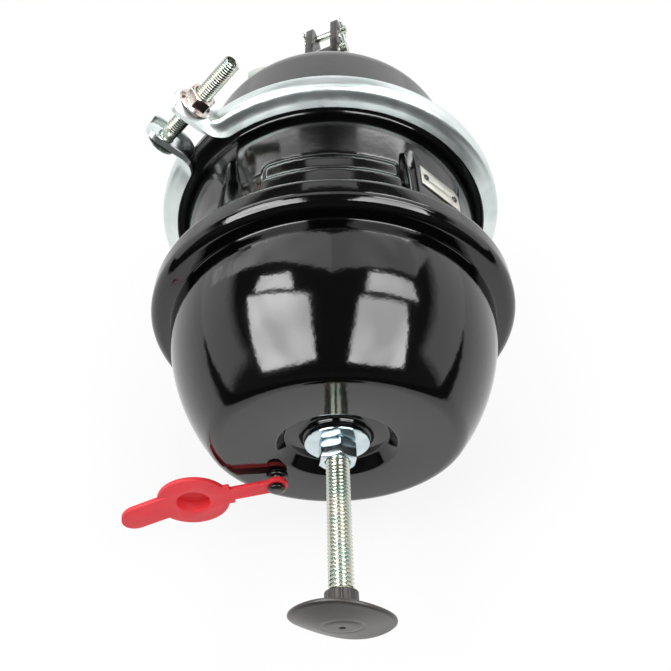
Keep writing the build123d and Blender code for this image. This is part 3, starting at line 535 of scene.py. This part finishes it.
# clamp band: rolled channel whose ends bend out into flat lugs
clamp = {
    "joint": -92.0, "crown": 114.0, "splitTurns": (-45.0, 135.0), "sharpAngle": 45,
    "lugFace": 17.0, "lugThick": 5.0, "lugReach": 137.0, "lugHalf": 11.0, "lugCorner": 6.0,
    "lugFlatness": 0.62, "bendRadius": 8.0, "holeHeight": 125.5, "holeRadius": 4.96, "drillReach": 150.0,
    # how the band is divided: steps down from a lug's tip, then counts round the bend and the quarter turn
    "tipSteps": (0.0, 0.4, 1.2, 2.4, 3.8, 5.2, 7.0, 10.0, 14.0), "bendSteps": 12, "bandSteps": 48,
    # half of the section as (across, depth below the crown): outer skin, then inner skin
    "outer": [(0.0, 0.0), (2.2, 0.02), (4.0, 0.2), (5.5, 0.75), (6.6, 1.7), (7.3, 3.0), (7.7, 4.6),
              (8.2, 6.2), (9.2, 7.8), (10.3, 9.4), (10.9, 10.4)],
    "inner": [(8.0, 11.1), (6.75, 10.6), (6.0, 8.6), (5.3, 6.4), (4.7, 4.4), (4.25, 3.5), (3.6, 3.25),
              (2.4, 3.2), (1.2, 3.2), (0.0, 3.2)],
}


def clampRing(flatness):
    # closed section as (across, depth below the crown); flatness 1 is the plain lug
    half = []
    outerCount, innerCount = len(clamp["outer"]), len(clamp["inner"])
    for i, (w, d) in enumerate(clamp["outer"]):
        flatW = clamp["lugHalf"] * i / (outerCount - 1)
        half.append((w + (flatW - w) * flatness, d * (1 - flatness)))
    for i, (w, d) in enumerate(clamp["inner"]):
        flatW = clamp["lugHalf"] * (1 - i / (innerCount - 1))
        half.append((w + (flatW - w) * flatness, d + (clamp["lugThick"] - d) * flatness))
    return half + [(-w, d) for w, d in half[-2:0:-1]]


def easedShare(value):
    return value * value * (3 - 2 * value)


def lugWidth(reach):
    # half width left at the rounded tip of a lug
    radius = clamp["lugCorner"]
    over = max(reach - (clamp["lugReach"] - radius), 0.0)
    return clamp["lugHalf"] - radius + math.sqrt(radius ** 2 - over ** 2)


def clampStations():
    # half of the band, from the lug's tip to its middle: place, outward normal, flatness, half width
    radius = clamp["bendRadius"]
    bendCentreX = clamp["lugFace"] + radius
    reach = clamp["crown"] + radius
    bendCentreR = math.sqrt(reach ** 2 - bendCentreX ** 2)
    lean = math.degrees(math.asin(bendCentreX / reach))
    stations = []
    for step in clamp["tipSteps"]:
        height = clamp["lugReach"] - step
        stations.append(((clamp["lugFace"], height), (1.0, 0.0), clamp["lugFlatness"], lugWidth(height)))
    count = clamp["bendSteps"]
    for i in range(count + 1):
        angle = math.radians(180 + (90 - lean) * i / count)
        normal = (-math.cos(angle), -math.sin(angle))
        place = (bendCentreX - radius * normal[0], bendCentreR - radius * normal[1])
        flatness = clamp["lugFlatness"] * (1 - easedShare(i / count))
        stations.append((place, normal, flatness, clamp["lugHalf"]))
    count = clamp["bandSteps"]
    for i in range(1, count + 1):
        angle = math.radians(lean + (90 - lean) * i / count)
        normal = (math.sin(angle), math.cos(angle))
        place = (clamp["crown"] * normal[0], clamp["crown"] * normal[1])
        stations.append((place, normal, 0.0, clamp["lugHalf"]))
    return stations


def clampHalf(name, splitTurn):
    # rings laid along the half band and its mirror, then skinned
    rows = []
    half = clampStations()
    mirrored = [((x, -r), (nx, -nr), share, width) for (x, r), (nx, nr), share, width in half[-2::-1]]
    for (x, r), (nx, nr), share, width in half + mirrored:
        scale = width / clamp["lugHalf"]
        rows.append([Vector((x - nx * d, clamp["joint"] + w * scale, r - nr * d)) * mm
                     for w, d in clampRing(share)])
    count = len(rows[0])
    faces = [tuple(range(count)), tuple(range(len(rows) * count - 1, (len(rows) - 1) * count - 1, -1))]
    for row in range(len(rows) - 1):
        for i in range(count):
            j = (i + 1) % count
            faces.append((row * count + i, (row + 1) * count + i, (row + 1) * count + j, row * count + j))
    mesh = bpy.data.meshes.new(name)
    mesh.from_pydata([tuple(point) for row in rows for point in row], [], faces)
    piece = bpy.data.objects.new(name, mesh)
    bpy.context.scene.collection.objects.link(piece)
    pickOnly(piece)
    bpy.ops.object.mode_set(mode="EDIT")
    weldAndSmooth(piece, clamp["sharpAngle"])
    radius, end = clamp["holeRadius"], clamp["drillReach"]
    for side in (1, -1):
        drill = turned("drill", [(0.0, -end), (radius, -end), (radius, end), (0.0, end)], 32)
        moved(drill, slid(0, clamp["joint"], side * clamp["holeHeight"]) @ swung(90, "Z"))
        carved(piece, drill, "DIFFERENCE")
    smoothed(piece, clamp["sharpAngle"])
    return moved(piece, swung(splitTurn))


upperTurn, lowerTurn = clamp["splitTurns"]
fitted(clampHalf("clampBandUpper", upperTurn), "clamp_band_upper")
fitted(clampHalf("clampBandLower", lowerTurn), "clamp_band_lower")
print("clamp bands laid")


# threaded pieces: a tooth from root to root, as (share of the depth below the crest, share of the pitch)
tooth = {
    "depth": 0.6, "sharpAngle": 50,
    "outline": [(1.0, 0.0), (1.0, 0.18), (0.08, 0.48), (0.0, 0.53), (0.0, 0.62), (0.08, 0.67), (1.0, 1.0)],
}


def threadedRod(name, radius, pitch, low, high, steps, point=1.2):
    # one tooth turned up the rod by a screw modifier, cut square and pointed at both ends
    depth = tooth["depth"] * pitch
    start = low - 1.5 * pitch
    piece = drawnLine(name, [(radius - down * depth, start + up * pitch) for down, up in tooth["outline"]])
    bpy.ops.object.mode_set(mode="OBJECT")
    applied(piece, "SCREW", axis="Y", angle=math.tau, screw_offset=pitch * mm, steps=steps,
            render_steps=steps, iterations=math.ceil((high - low) / pitch) + 3,
            use_merge_vertices=True, merge_threshold=mergeReach)
    bpy.ops.object.mode_set(mode="EDIT")
    for place, direction in ((low, -1), (high, 1)):
        bpy.ops.mesh.select_all(action="SELECT")
        bpy.ops.mesh.bisect(plane_co=(0, place * mm, 0), plane_no=(0, direction, 0), use_fill=True,
                            clear_outer=True)
    weldAndSmooth(piece, tooth["sharpAngle"])
    for vertex in piece.data.vertices:
        x, y, z = vertex.co / mm
        allowed = radius - point + min(y - low, high - y)
        reach = math.hypot(x, z)
        if reach > allowed:
            vertex.co = Vector((x * allowed / reach, y, z * allowed / reach)) * mm
    return piece


# nuts: the end faces' reach as a share of the flats', the chamfer, the edges' rounding and the countersink
hexagon = {
    "faceShare": 0.95, "chamferSlope": 0.62, "cornerShare": 1.005, "edgeRound": 0.35, "edgeAngle": 25,
    "sinkReach": 0.9, "smoothAngle": 30,
}


def hexNut(name, across, low, high, bore, turn, flange=None):
    # hexagon with both ends chamfered, a countersunk bore and, where asked, a flange's radius and thickness
    flat, corner = across / 2, across / math.sqrt(3)
    bpy.ops.object.select_all(action="DESELECT")
    bpy.ops.mesh.primitive_cylinder_add(vertices=6, radius=corner * mm, depth=(high - low) * mm)
    nut = bpy.context.object
    nut.name = nut.data.name = name
    moved(nut, swung(turn) @ slid(0, (low + high) / 2, 0) @ swung(90, "X"))
    face, outer = hexagon["faceShare"] * flat, hexagon["cornerShare"] * corner
    drop = hexagon["chamferSlope"] * (corner - face)
    barrel = [(0.0, low), (face, low), (outer, low + drop), (outer, high - drop), (face, high), (0.0, high)]
    carved(nut, turned("barrel", barrel, 72), "INTERSECT")
    applied(nut, "BEVEL", width=hexagon["edgeRound"] * mm, segments=2, limit_method="ANGLE",
            angle_limit=math.radians(hexagon["edgeAngle"]))
    if flange:
        radius, thick = flange
        top = low + (thick + 0.5)
        plate = [(0.0, low), (radius - 0.5, low), (radius - 0.1, low + 0.2), (radius, low + 0.6),
                 (radius - 0.2, low + 1.0), (flat + 0.4, low + thick), (flat - 1.0, top), (0.0, top)]
        carved(nut, turned("skirt", plate, 72), "UNION")
    sink = hexagon["sinkReach"]
    drill = [(0.0, low - 1), (bore + 2.0, low - 1), (bore + sink, low), (bore, low + sink),
             (bore, high - sink), (bore + sink, high), (bore + 2.0, high + 1), (0.0, high + 1)]
    carved(nut, turned("sink", drill, 48), "DIFFERENCE")
    return smoothed(nut, hexagon["smoothAngle"])


# clamp bolts with domed heads, flange nuts on their threads
clampBolt = {
    "radius": 4.76, "pitch": 1.5875, "head": 9.5, "headHeight": 4.5, "seat": -17.0, "relief": 0.3,
    "threadStart": -6.0, "tail": 53.0, "point": 0.9, "nutSeat": 17.0, "nutHeight": 9.0, "across": 14.3,
    "flange": (10.2, 2.2), "nutTurns": (9.0, 22.0), "threadGap": 0.05,
}


def clampFrame(splitTurn):
    place = slid(0, clamp["joint"], clamp["holeHeight"]) @ swung(-90, "Z")
    return swung(splitTurn) @ place


def makeClampBolts():
    radius, seat, top = clampBolt["radius"], clampBolt["seat"], clampBolt["head"]
    rise, start = clampBolt["headHeight"], clampBolt["threadStart"]
    plain = radius - clampBolt["relief"]
    ball = (top ** 2 + rise ** 2) / (2 * rise)
    lean = math.degrees(math.asin((top - 0.4) / ball))
    dome = [(0.0, seat - rise)] + bend((0.0, seat - rise + ball), ball, -90, -90 + lean, 10)[1:]
    shank = dome + [(top, seat - 0.7), (top - 0.1, seat - 0.1), (top - 0.5, seat), (radius + 0.1, seat),
                    (plain, seat + 0.8), (plain, start + 1.0), (0.0, start + 1.0)]
    bolt = turned("clampBoltUpper", shank, 48)
    thread = threadedRod("clampThread", radius, clampBolt["pitch"], start, clampBolt["tail"], 28,
                         clampBolt["point"])
    bolt = joined(bolt, thread)
    other = copied(bolt, "clampBoltLower")
    for piece, splitTurn in zip((bolt, other), clamp["splitTurns"]):
        moved(piece, clampFrame(splitTurn))
    return joined(bolt, other)


def makeClampNuts():
    low, high = clampBolt["nutSeat"], clampBolt["nutSeat"] + clampBolt["nutHeight"]
    bore = clampBolt["radius"] + clampBolt["threadGap"]
    nuts = []
    for splitTurn, turn in zip(clamp["splitTurns"], clampBolt["nutTurns"]):
        nut = hexNut("clampNut", clampBolt["across"], low, high, bore, turn, clampBolt["flange"])
        nuts.append(moved(nut, clampFrame(splitTurn)))
    return joined(*nuts)


fitted(makeClampBolts(), "clamp_bolts").name = "clampBoltPair"
fitted(makeClampNuts(), "clamp_nuts").name = "clampNutPair"
print("clamp bolts and nuts made")


# release bolt, nut and washer
releaseBolt = {
    "radius": 6.35, "pitch": 1.954, "end": -349.5, "threadTop": -252.0, "relief": 0.3, "overlap": 1.0,
    "bar": (-177.5, -168.5), "barLength": 23.4, "barWidth": 12.0, "barRound": 1.2,
    "across": 19.05, "nut": (-272.65, -261.55), "nutGap": 0.06, "nutTurn": 8.5, "threadGap": 0.05,
    "washer": 18.0, "washerBore": 7.0, "washerThick": 3.0, "seat": -258.5,
}


def makeReleaseBolt():
    radius, top = releaseBolt["radius"], releaseBolt["threadTop"]
    low, high = releaseBolt["bar"]
    plain = radius - releaseBolt["relief"]
    shank = turned("boltShank", [(0.0, top - releaseBolt["overlap"]), (plain, top - releaseBolt["overlap"]),
                                 (plain, low + 2), (0.0, low + 2)], 40)
    stretch = Matrix.Diagonal((releaseBolt["barWidth"], high - low, releaseBolt["barLength"], 1.0))
    bar = moved(newCube(mm), slid(0, (low + high) / 2, 0) @ stretch)
    applied(bar, "BEVEL", width=releaseBolt["barRound"] * mm, segments=3, limit_method="ANGLE")
    thread = threadedRod("releaseBolt", radius, releaseBolt["pitch"], releaseBolt["end"], top, 36)
    return joined(thread, shank, bar)


def makeWasher():
    radius, bore, seat = releaseBolt["washer"], releaseBolt["washerBore"], releaseBolt["seat"]
    face = seat - releaseBolt["washerThick"]
    return turned("releaseWasher", [
        (bore, face + 0.25), (bore + 0.2, face), (radius - 0.9, face), (radius - 0.35, face + 0.12),
        (radius - 0.06, face + 0.5), (radius, face + 0.9), (radius, seat), (bore, seat)], 96, 30)


fitted(makeReleaseBolt(), "release_bolt")
low, high = releaseBolt["nut"]
releaseNut = hexNut("releaseNut", releaseBolt["across"], low, high - releaseBolt["nutGap"],
                    releaseBolt["radius"] + releaseBolt["threadGap"], releaseBolt["nutTurn"])
fitted(releaseNut, "release_nut")
fitted(makeWasher(), "release_washer")
print("release bolt threaded, nut and washer made")


# dust plug: shallow umbrella disc on a fluted collar
dustPlug = {
    "radius": 25.4, "centre": -355.5, "thick": 1.9, "hub": 6.0, "droop": 2.9, "droopCurve": 1.35,
    "warp": 2.3, "warpTurn": 163.0, "ripple": 0.6, "rippleTurn": 52.0, "warpFrom": 9.0, "warpCurve": 1.5,
    "ringPlace": 9.5, "ringRise": 0.35, "ringWidth": 0.9,
    "collar": 8.2, "collarEnd": -339.5, "flutes": 14, "fluteRadius": 0.85, "fluteGap": 0.25,
    "vent": 1.5, "boreGap": 0.06, "boreEnd": -352.4,
    # radii at which the disc's outer face and its back are drawn
    "outerRadii": (1.9, 2.6, 4.0, 6.0, 7.4, 8.2, 8.8, 9.5, 10.2, 10.9, 12.0, 14.0, 16.5, 19.0, 21.5, 23.5,
                   24.7),
    "backRadii": (24.4, 22.0, 19.0, 16.0, 13.0, 11.0),
}


def plugOuterFace(radius):
    # place of the disc's outer face: flat hub, then a droop that grows to the edge
    share = max(radius - dustPlug["hub"], 0.0) / (dustPlug["radius"] - dustPlug["hub"])
    offRing = (radius - dustPlug["ringPlace"]) / dustPlug["ringWidth"]
    ring = dustPlug["ringRise"] * math.exp(-offRing ** 2)
    return dustPlug["centre"] + dustPlug["droop"] * share ** dustPlug["droopCurve"] + ring


def plugFlutes():
    # cutters for the grooves along the collar, one drawn and the rest copied round it
    low, high, radius = dustPlug["centre"] + 4.2, dustPlug["collarEnd"] + 2, dustPlug["fluteRadius"]
    flute = turned("flute", [(0.0, low), (radius, low + 1.0), (radius, high), (0.0, high)], 12)
    reach = dustPlug["collar"] + dustPlug["fluteGap"]
    cutters = []
    for i in range(dustPlug["flutes"]):
        angle = math.tau * i / dustPlug["flutes"]
        place = slid(reach * math.sin(angle), 0, reach * math.cos(angle))
        cutters.append(moved(copied(flute, "flute"), place))
    bpy.data.objects.remove(flute)
    return joined(*cutters)


def warpPlug(plug):
    # a soft disc never sits true: one side droops more than the other
    start = dustPlug["warpFrom"]
    for vertex in plug.data.vertices:
        x, y, z = vertex.co / mm
        reach = max(math.hypot(x, z) - start, 0.0) / (dustPlug["radius"] - start)
        turn = math.atan2(z, x)
        side = math.cos(turn - math.radians(dustPlug["warpTurn"]))
        ripple = math.cos(3 * turn + math.radians(dustPlug["rippleTurn"])) + 0.5 * math.sin(2 * turn)
        sag = dustPlug["warp"] * side + dustPlug["ripple"] * ripple
        vertex.co.y += sag * reach ** dustPlug["warpCurve"] * mm


def makeDustPlug():
    edge, thick, centre = dustPlug["radius"], dustPlug["thick"], dustPlug["centre"]
    rim = plugOuterFace(edge)
    outline = [(dustPlug["vent"], centre + 0.3)] + [(r, plugOuterFace(r)) for r in dustPlug["outerRadii"]]
    outline += [(edge - 0.15, rim + 0.35), (edge, rim + 0.95), (edge - 0.2, rim + thick - 0.25)]
    outline += [(r, plugOuterFace(r) + thick) for r in dustPlug["backRadii"]]
    collar, end = dustPlug["collar"], dustPlug["collarEnd"]
    bore = releaseBolt["radius"] + dustPlug["boreGap"]
    outline += [(collar + 0.8, centre + 2.2), (collar + 0.2, centre + 2.8), (collar, centre + 3.6),
                (collar, end - 0.5), (collar - 0.4, end), (bore + 0.3, end), (bore, end - 0.3),
                (bore, dustPlug["boreEnd"]), (dustPlug["vent"], dustPlug["boreEnd"])]
    plug = turned("dustPlug", outline, 112, 40)
    carved(plug, plugFlutes(), "DIFFERENCE")
    warpPlug(plug)
    return smoothed(plug, 35)


fitted(makeDustPlug(), "dust_plug")
print("dust plug made")


# pieces whose machined or moulded edges are rounded over: the new name, and the rounding in millimetres
easedNodes = {
    "release_tag": ("releaseTag", 0.45), "tag_plug": ("tagRivet", 0.3), "nameplate": ("blankPlate", 0.12),
    "nameplate_screws": ("plateScrews", 0.12), "clevis": ("clevisFork", 0.9),
    "push_rod_guide": ("rodGuide", 0.4), "clevis_pin": ("clevisPin", 0.3), "link_pin": ("linkPin", 0.2),
}
for nodeName, (pieceName, width) in easedNodes.items():
    fitted(eased(nodeName, pieceName, width), nodeName)

# the red tag's grip tongue runs from the disc to the tip, and sags a little past the disc
tongue = {"disc": (-82.9, -274.3, -36.5), "tip": (-124.6, -284.0, -42.0), "start": 17.0, "sag": 2.4}


def sagTongue(piece):
    disc, tip = Vector(tongue["disc"]), Vector(tongue["tip"])
    along = (tip - disc).normalized()
    run = (tip - disc).length - tongue["start"]
    for vertex in piece.data.vertices:
        reach = (vertex.co / mm - disc).dot(along) - tongue["start"]
        if reach > 0:
            vertex.co.z -= tongue["sag"] * mm * reach / run


sagTongue(bpy.data.objects["releaseTag"])
print("edges eased")


# mounting studs and their nuts, and the jam nut on the push rod
stud = {
    "reach": 0.5 * 120.65, "turn": -56.0, "radius": 7.94, "pitch": 2.309,
    "head": 12.0, "headBack": -8.5, "headFront": -4.5, "collar": 9.3, "seat": -0.3,
    "plainEnd": 27.0, "end": 48.0, "across": 23.8, "nut": (29.0, 42.9), "nutTurn": 12.0, "jamTurn": 5.0,
    "rodRadius": 7.94, "threadGap": 0.05,
}


def studFrame(side):
    reach, angle = stud["reach"] * side, math.radians(stud["turn"])
    return slid(reach * math.sin(angle), 0, reach * math.cos(angle))


def makeStuds():
    radius, head, collar, end = stud["radius"], stud["head"], stud["collar"], stud["plainEnd"]
    back, front, seat = stud["headBack"], stud["headFront"], stud["seat"]
    shank = turned("mountingStud", [
        (0.0, back), (head - 0.4, back), (head, back + 0.4), (head, front), (collar, front),
        (collar, seat - 0.2), (collar - 0.2, seat), (radius, seat), (radius, end - 0.5),
        (radius - 0.9, end), (0.0, end)], 56)
    thread = threadedRod("studThread", radius - 0.25, stud["pitch"], end - 0.6, stud["end"], 32, 1.4)
    first = joined(shank, thread)
    second = copied(first, "mountingStudLow")
    moved(first, studFrame(1))
    return joined(first, moved(second, studFrame(-1)))


def makeStudNuts():
    low, high = stud["nut"]
    nuts = []
    for side in (1, -1):
        nut = hexNut("mountingNut", stud["across"], low, high, stud["radius"] - 0.2, stud["nutTurn"])
        nuts.append(moved(nut, studFrame(side)))
    return joined(*nuts)


fitted(makeStuds(), "mounting_studs").name = "mountingStudPair"
fitted(makeStudNuts(), "mounting_nuts").name = "mountingNutPair"
low, high = [corner.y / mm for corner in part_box("clevis_jam_nut")]
bore = stud["rodRadius"] + stud["threadGap"]
jamNut = hexNut("clevisJamNut", stud["across"], low, high, bore, stud["jamTurn"])
fitted(jamNut, "clevis_jam_nut")
print("studs and nuts made")


# stage, lamps and camera; sizes and places from here on are in metres
studio = {
    "floorHeight": -0.1295, "floorSize": 12, "floorColour": "#f4f4f4", "floorShare": 0.8,
    "shadowReach": (0.45, 1.8),
    # where the floor ends for the gloss: from and to in front, its slope to the sides, the light beyond
    "frontEdge": (-0.60, -0.70), "frontSlope": -0.25, "beyondFront": 0.04,
    "roomColour": "#c9c9c9", "wallGlow": 1.15, "darkCeiling": 0.06,
    # as parts of a unit direction: where the walls fade to the ceiling, and where the wall in front fades
    "wallTop": (0.34, 0.46), "frontWall": (-0.37, -0.27), "frontShare": 0.03,
}


def lightMaterial(name):
    # a material with nothing wired to its surface yet
    material, tree, shader, place = newMaterial(name)
    tree.nodes.remove(shader)
    return material, tree, place, tree.nodes["Material Output"].inputs["Surface"]


def floorMaterial():
    # white paper: takes the object's shadow, and reads as white in view and in the metal
    material, tree, place, surface = lightMaterial("paperSweep")
    paper = addNode(tree, "BsdfDiffuse", {"Color": linear(studio["floorColour"])})
    white = addNode(tree, "Emission", {"Color": (1, 1, 1, 1), "Strength": 1.0})
    ray = addNode(tree, "LightPath")
    seen = addNode(tree, "Math", {"operation": "MAXIMUM"},
                   {0: ray.outputs["Is Camera Ray"], 1: ray.outputs["Is Glossy Ray"]})
    seen = addNode(tree, "Math", {"operation": "MAXIMUM"},
                   {0: seen.outputs[0], 1: ray.outputs["Is Transmission Ray"]})
    # the shadow is kept near the object, and far out the paper is bare white
    away = addNode(tree, "VectorMath", {"operation": "LENGTH"}, {0: place})
    near, far = studio["shadowReach"]
    bare = addNode(tree, "MapRange",
                   {"From Min": near, "From Max": far, "To Min": studio["floorShare"], "To Max": 1.0},
                   {"Value": away.outputs["Value"]})
    # past its front edge the gloss sees a dark room instead of the paper
    parts = addNode(tree, "SeparateXYZ", {}, {0: place})
    across = addNode(tree, "Math", {"operation": "ABSOLUTE"}, {0: parts.outputs["X"]})
    edge = addNode(tree, "Math", {"operation": "MULTIPLY_ADD", 1: studio["frontSlope"]},
                   {0: across.outputs[0], 2: parts.outputs["Y"]})
    start, end = studio["frontEdge"]
    past = addNode(tree, "MapRange", {"From Min": start, "From Max": end}, {"Value": edge.outputs[0]})
    past = addNode(tree, "Math", {"operation": "MULTIPLY"},
                   {0: past.outputs[0], 1: ray.outputs["Is Glossy Ray"]})
    level = addNode(tree, "MapRange", {"To Min": 1.0, "To Max": studio["beyondFront"]},
                    {"Value": past.outputs[0]})
    tree.links.new(level.outputs[0], white.inputs["Strength"])
    bare = addNode(tree, "Math", {"operation": "MAXIMUM"}, {0: bare.outputs[0], 1: past.outputs[0]})
    share = addNode(tree, "Math", {"operation": "MULTIPLY"}, {0: seen.outputs[0], 1: bare.outputs[0]})
    mixed = addNode(tree, "MixShader", {}, {0: share.outputs[0], 1: paper.outputs[0], 2: white.outputs[0]})
    tree.links.new(mixed.outputs[0], surface)
    return material


bpy.ops.object.select_all(action="DESELECT")
bpy.ops.mesh.primitive_plane_add(size=studio["floorSize"], location=(0, 0, studio["floorHeight"]))
floor = bpy.context.object
floor.name = "floor"
floor.data.materials.append(floorMaterial())

scene = bpy.context.scene
scene.view_settings.view_transform = "Standard"


def room():
    # white walls up to head height and a dark ceiling for the gloss, an even grey for everything else
    world = bpy.data.worlds.new("studioWorld")
    scene.world = world
    world.use_nodes = True
    tree = world.node_tree
    background = tree.nodes["Background"]
    place = addNode(tree, "TexCoord")
    parts = addNode(tree, "SeparateXYZ", {}, {0: place.outputs["Generated"]})
    low, high = studio["wallTop"]
    wall = addNode(tree, "MapRange",
                   {"From Min": low, "From Max": high, "To Min": 1.0, "To Max": 0.0},
                   {"Value": parts.outputs["Z"]})
    near, far = studio["frontWall"]
    front = addNode(tree, "MapRange",
                    {"From Min": near, "From Max": far, "To Min": studio["frontShare"], "To Max": 1.0},
                    {"Value": parts.outputs["Y"]})
    glow = addNode(tree, "Math", {"operation": "MULTIPLY"}, {0: wall.outputs[0], 1: front.outputs[0]})
    glow = addNode(tree, "Math",
                   {"operation": "MULTIPLY_ADD", 1: studio["wallGlow"], 2: studio["darkCeiling"]},
                   {0: glow.outputs[0]})
    ray = addNode(tree, "LightPath")
    gloss = addNode(tree, "Mix", {"data_type": "FLOAT", 2: linear(studio["roomColour"])[0]},
                    {0: ray.outputs["Is Glossy Ray"], 3: glow.outputs[0]})
    seen = addNode(tree, "Math", {"operation": "MAXIMUM"},
                   {0: ray.outputs["Is Camera Ray"], 1: ray.outputs["Is Transmission Ray"]})
    strength = addNode(tree, "Mix", {"data_type": "FLOAT", 3: 1.0},
                       {0: seen.outputs[0], 2: gloss.outputs[0]})
    tree.links.new(strength.outputs[0], background.inputs["Strength"])
    background.inputs["Color"].default_value = (1, 1, 1, 1)


room()

# panels that only the gloss sees: height, corners, brightness, and how far the light fades in from the edge
panels = {
    "leftWindow": (1.0, [(-1.32, 0.04), (-0.22, -0.24), (-0.23, -0.99), (-1.73, -1.35)], 9.4, 0.05),
    "leftPane": (1.0, [(-0.95, 0.16), (-0.44, 0.02), (-0.40, -0.17), (-1.12, 0.0)], 8.6, 0.07),
    "rightWindow": (1.0, [(0.25, -0.26), (1.03, -0.21), (1.52, -1.30), (0.15, -1.04)], 8.4, 0.05),
    "rightPane": (1.0, [(0.36, 0.0), (1.15, 0.10), (1.36, -0.14), (0.32, -0.235)], 8.0, 0.07),
    "backLeftWindow": (1.02, [(-0.32, 0.51), (-0.33, 0.76), (-1.60, 1.42), (-1.26, 0.90)], 4.2, 0.05),
    "backRightWindow": (1.02, [(0.32, 0.51), (0.35, 0.76), (1.80, 1.58), (1.18, 0.85)], 6.4, 0.05),
    "backGlow": (1.02, [(-0.30, 0.92), (-0.34, 1.40), (0.34, 1.40), (0.30, 0.92)], 0.9, 0.0),
    "ceilingLeft": (1.0, [(0.0, 0.42), (0.0, -0.05), (-2.0, 0.80), (-2.0, 1.18)], 2.0, 0.0),
    "farLeft": (1.0, [(-2.0, 1.18), (-2.0, 0.80), (-8.0, 3.80), (-8.0, 5.20)], 1.8, 0.0),
    "ceilingRight": (1.0, [(0.0, 0.42), (0.0, -0.05), (1.2, 0.22), (2.0, 1.18)], 1.5, 0.0),
}
# the light on a panel is uneven: the scale of its patches and their range as shares of the brightness
cloudScale, dimmest, brightest = 1.4, 0.78, 1.2


def glowPanel(name, height, corners, brightness, softEdge):
    bpy.ops.object.select_all(action="DESELECT")
    bpy.ops.mesh.primitive_plane_add(size=1)
    panel = bpy.context.object
    panel.name = name
    for index, (x, y) in zip(panel.data.polygons[0].vertices, corners):
        panel.data.vertices[index].co = (x, y, height)
    material, tree, place, surface = lightMaterial(name)
    cloud = addNode(tree, "TexNoise", {"Scale": cloudScale, "Detail": 1.0}, {"Vector": place})
    level = addNode(tree, "MapRange",
                    {"From Min": 0.35, "From Max": 0.65,
                     "To Min": dimmest * brightness, "To Max": brightest * brightness},
                    {"Value": cloud.outputs["Fac"]})
    strength = level.outputs[0]
    if softEdge:
        # the light fades out over the panel's edge
        acrossPanel = addNode(tree, "TexCoord")
        sides = addNode(tree, "SeparateXYZ", {}, {"Vector": acrossPanel.outputs["UV"]})
        for side in ("X", "Y"):
            other = addNode(tree, "Math", {"operation": "SUBTRACT", 0: 1.0}, {1: sides.outputs[side]})
            depth = addNode(tree, "Math", {"operation": "MULTIPLY"},
                            {0: sides.outputs[side], 1: other.outputs[0]})
            fade = addNode(tree, "MapRange",
                           {"interpolation_type": "SMOOTHSTEP", "From Min": 0.0, "From Max": softEdge},
                           {"Value": depth.outputs[0]})
            faded = addNode(tree, "Math", {"operation": "MULTIPLY"}, {0: strength, 1: fade.outputs[0]})
            strength = faded.outputs[0]
    glow = addNode(tree, "Emission", {"Color": (1, 1, 1, 1)}, {"Strength": strength})
    tree.links.new(glow.outputs[0], surface)
    panel.data.materials.append(material)
    panel.visible_camera = panel.visible_diffuse = panel.visible_shadow = False
    panel.visible_transmission = False


for panelName, settings in panels.items():
    glowPanel(panelName, *settings)

# lamps: place, the point that they face, width, height and power in watts
softBoxes = {
    "leftBox": ((-0.9, -0.45, 1.1), (0, -0.12, 0), 0.9, 0.9, 10),
    "rightBox": ((0.9, -0.45, 1.1), (0, -0.12, 0), 0.9, 0.9, 9),
    "topBox": ((0, 0.9, 1.3), (0, 0, 0), 1.2, 0.5, 7),
}


def softBox(name, place, target, width, height, power):
    # soft lamp for the matt surfaces and the floor's shadow; the gloss sees the panels instead
    lamp = bpy.data.lights.new(name, "AREA")
    lamp.shape = "RECTANGLE"
    lamp.size = width
    lamp.size_y = height
    lamp.energy = power
    holder = bpy.data.objects.new(name, lamp)
    scene.collection.objects.link(holder)
    holder.location = place
    holder.rotation_euler = (Vector(target) - Vector(place)).to_track_quat("-Z", "Y").to_euler()
    holder.visible_glossy = False


for boxName, settings in softBoxes.items():
    softBox(boxName, *settings)

# the camera: where it stands, the way it looks, its focal length and picture width in the same measure
view = {
    "place": (0.0, -0.4408, 0.3215), "forward": (0.0, 0.6211, -0.7837), "focal": 672.0, "frame": 671.0,
    "sensor": 36.0, "shiftX": 0.0022, "roll": 1.65,
}
cameraData = bpy.data.cameras.new("camera")
camera = bpy.data.objects.new("camera", cameraData)
scene.collection.objects.link(camera)
camera.location = view["place"]
aim = Vector(view["forward"]).to_track_quat("-Z", "Y").to_matrix().to_4x4()
camera.rotation_euler = (aim @ swung(-view["roll"], "Z")).to_euler()
cameraData.sensor_width = view["sensor"]
cameraData.lens = view["sensor"] * view["focal"] / view["frame"]
cameraData.shift_x = view["shiftX"]
scene.camera = camera
print("stage, lamps and camera placed")
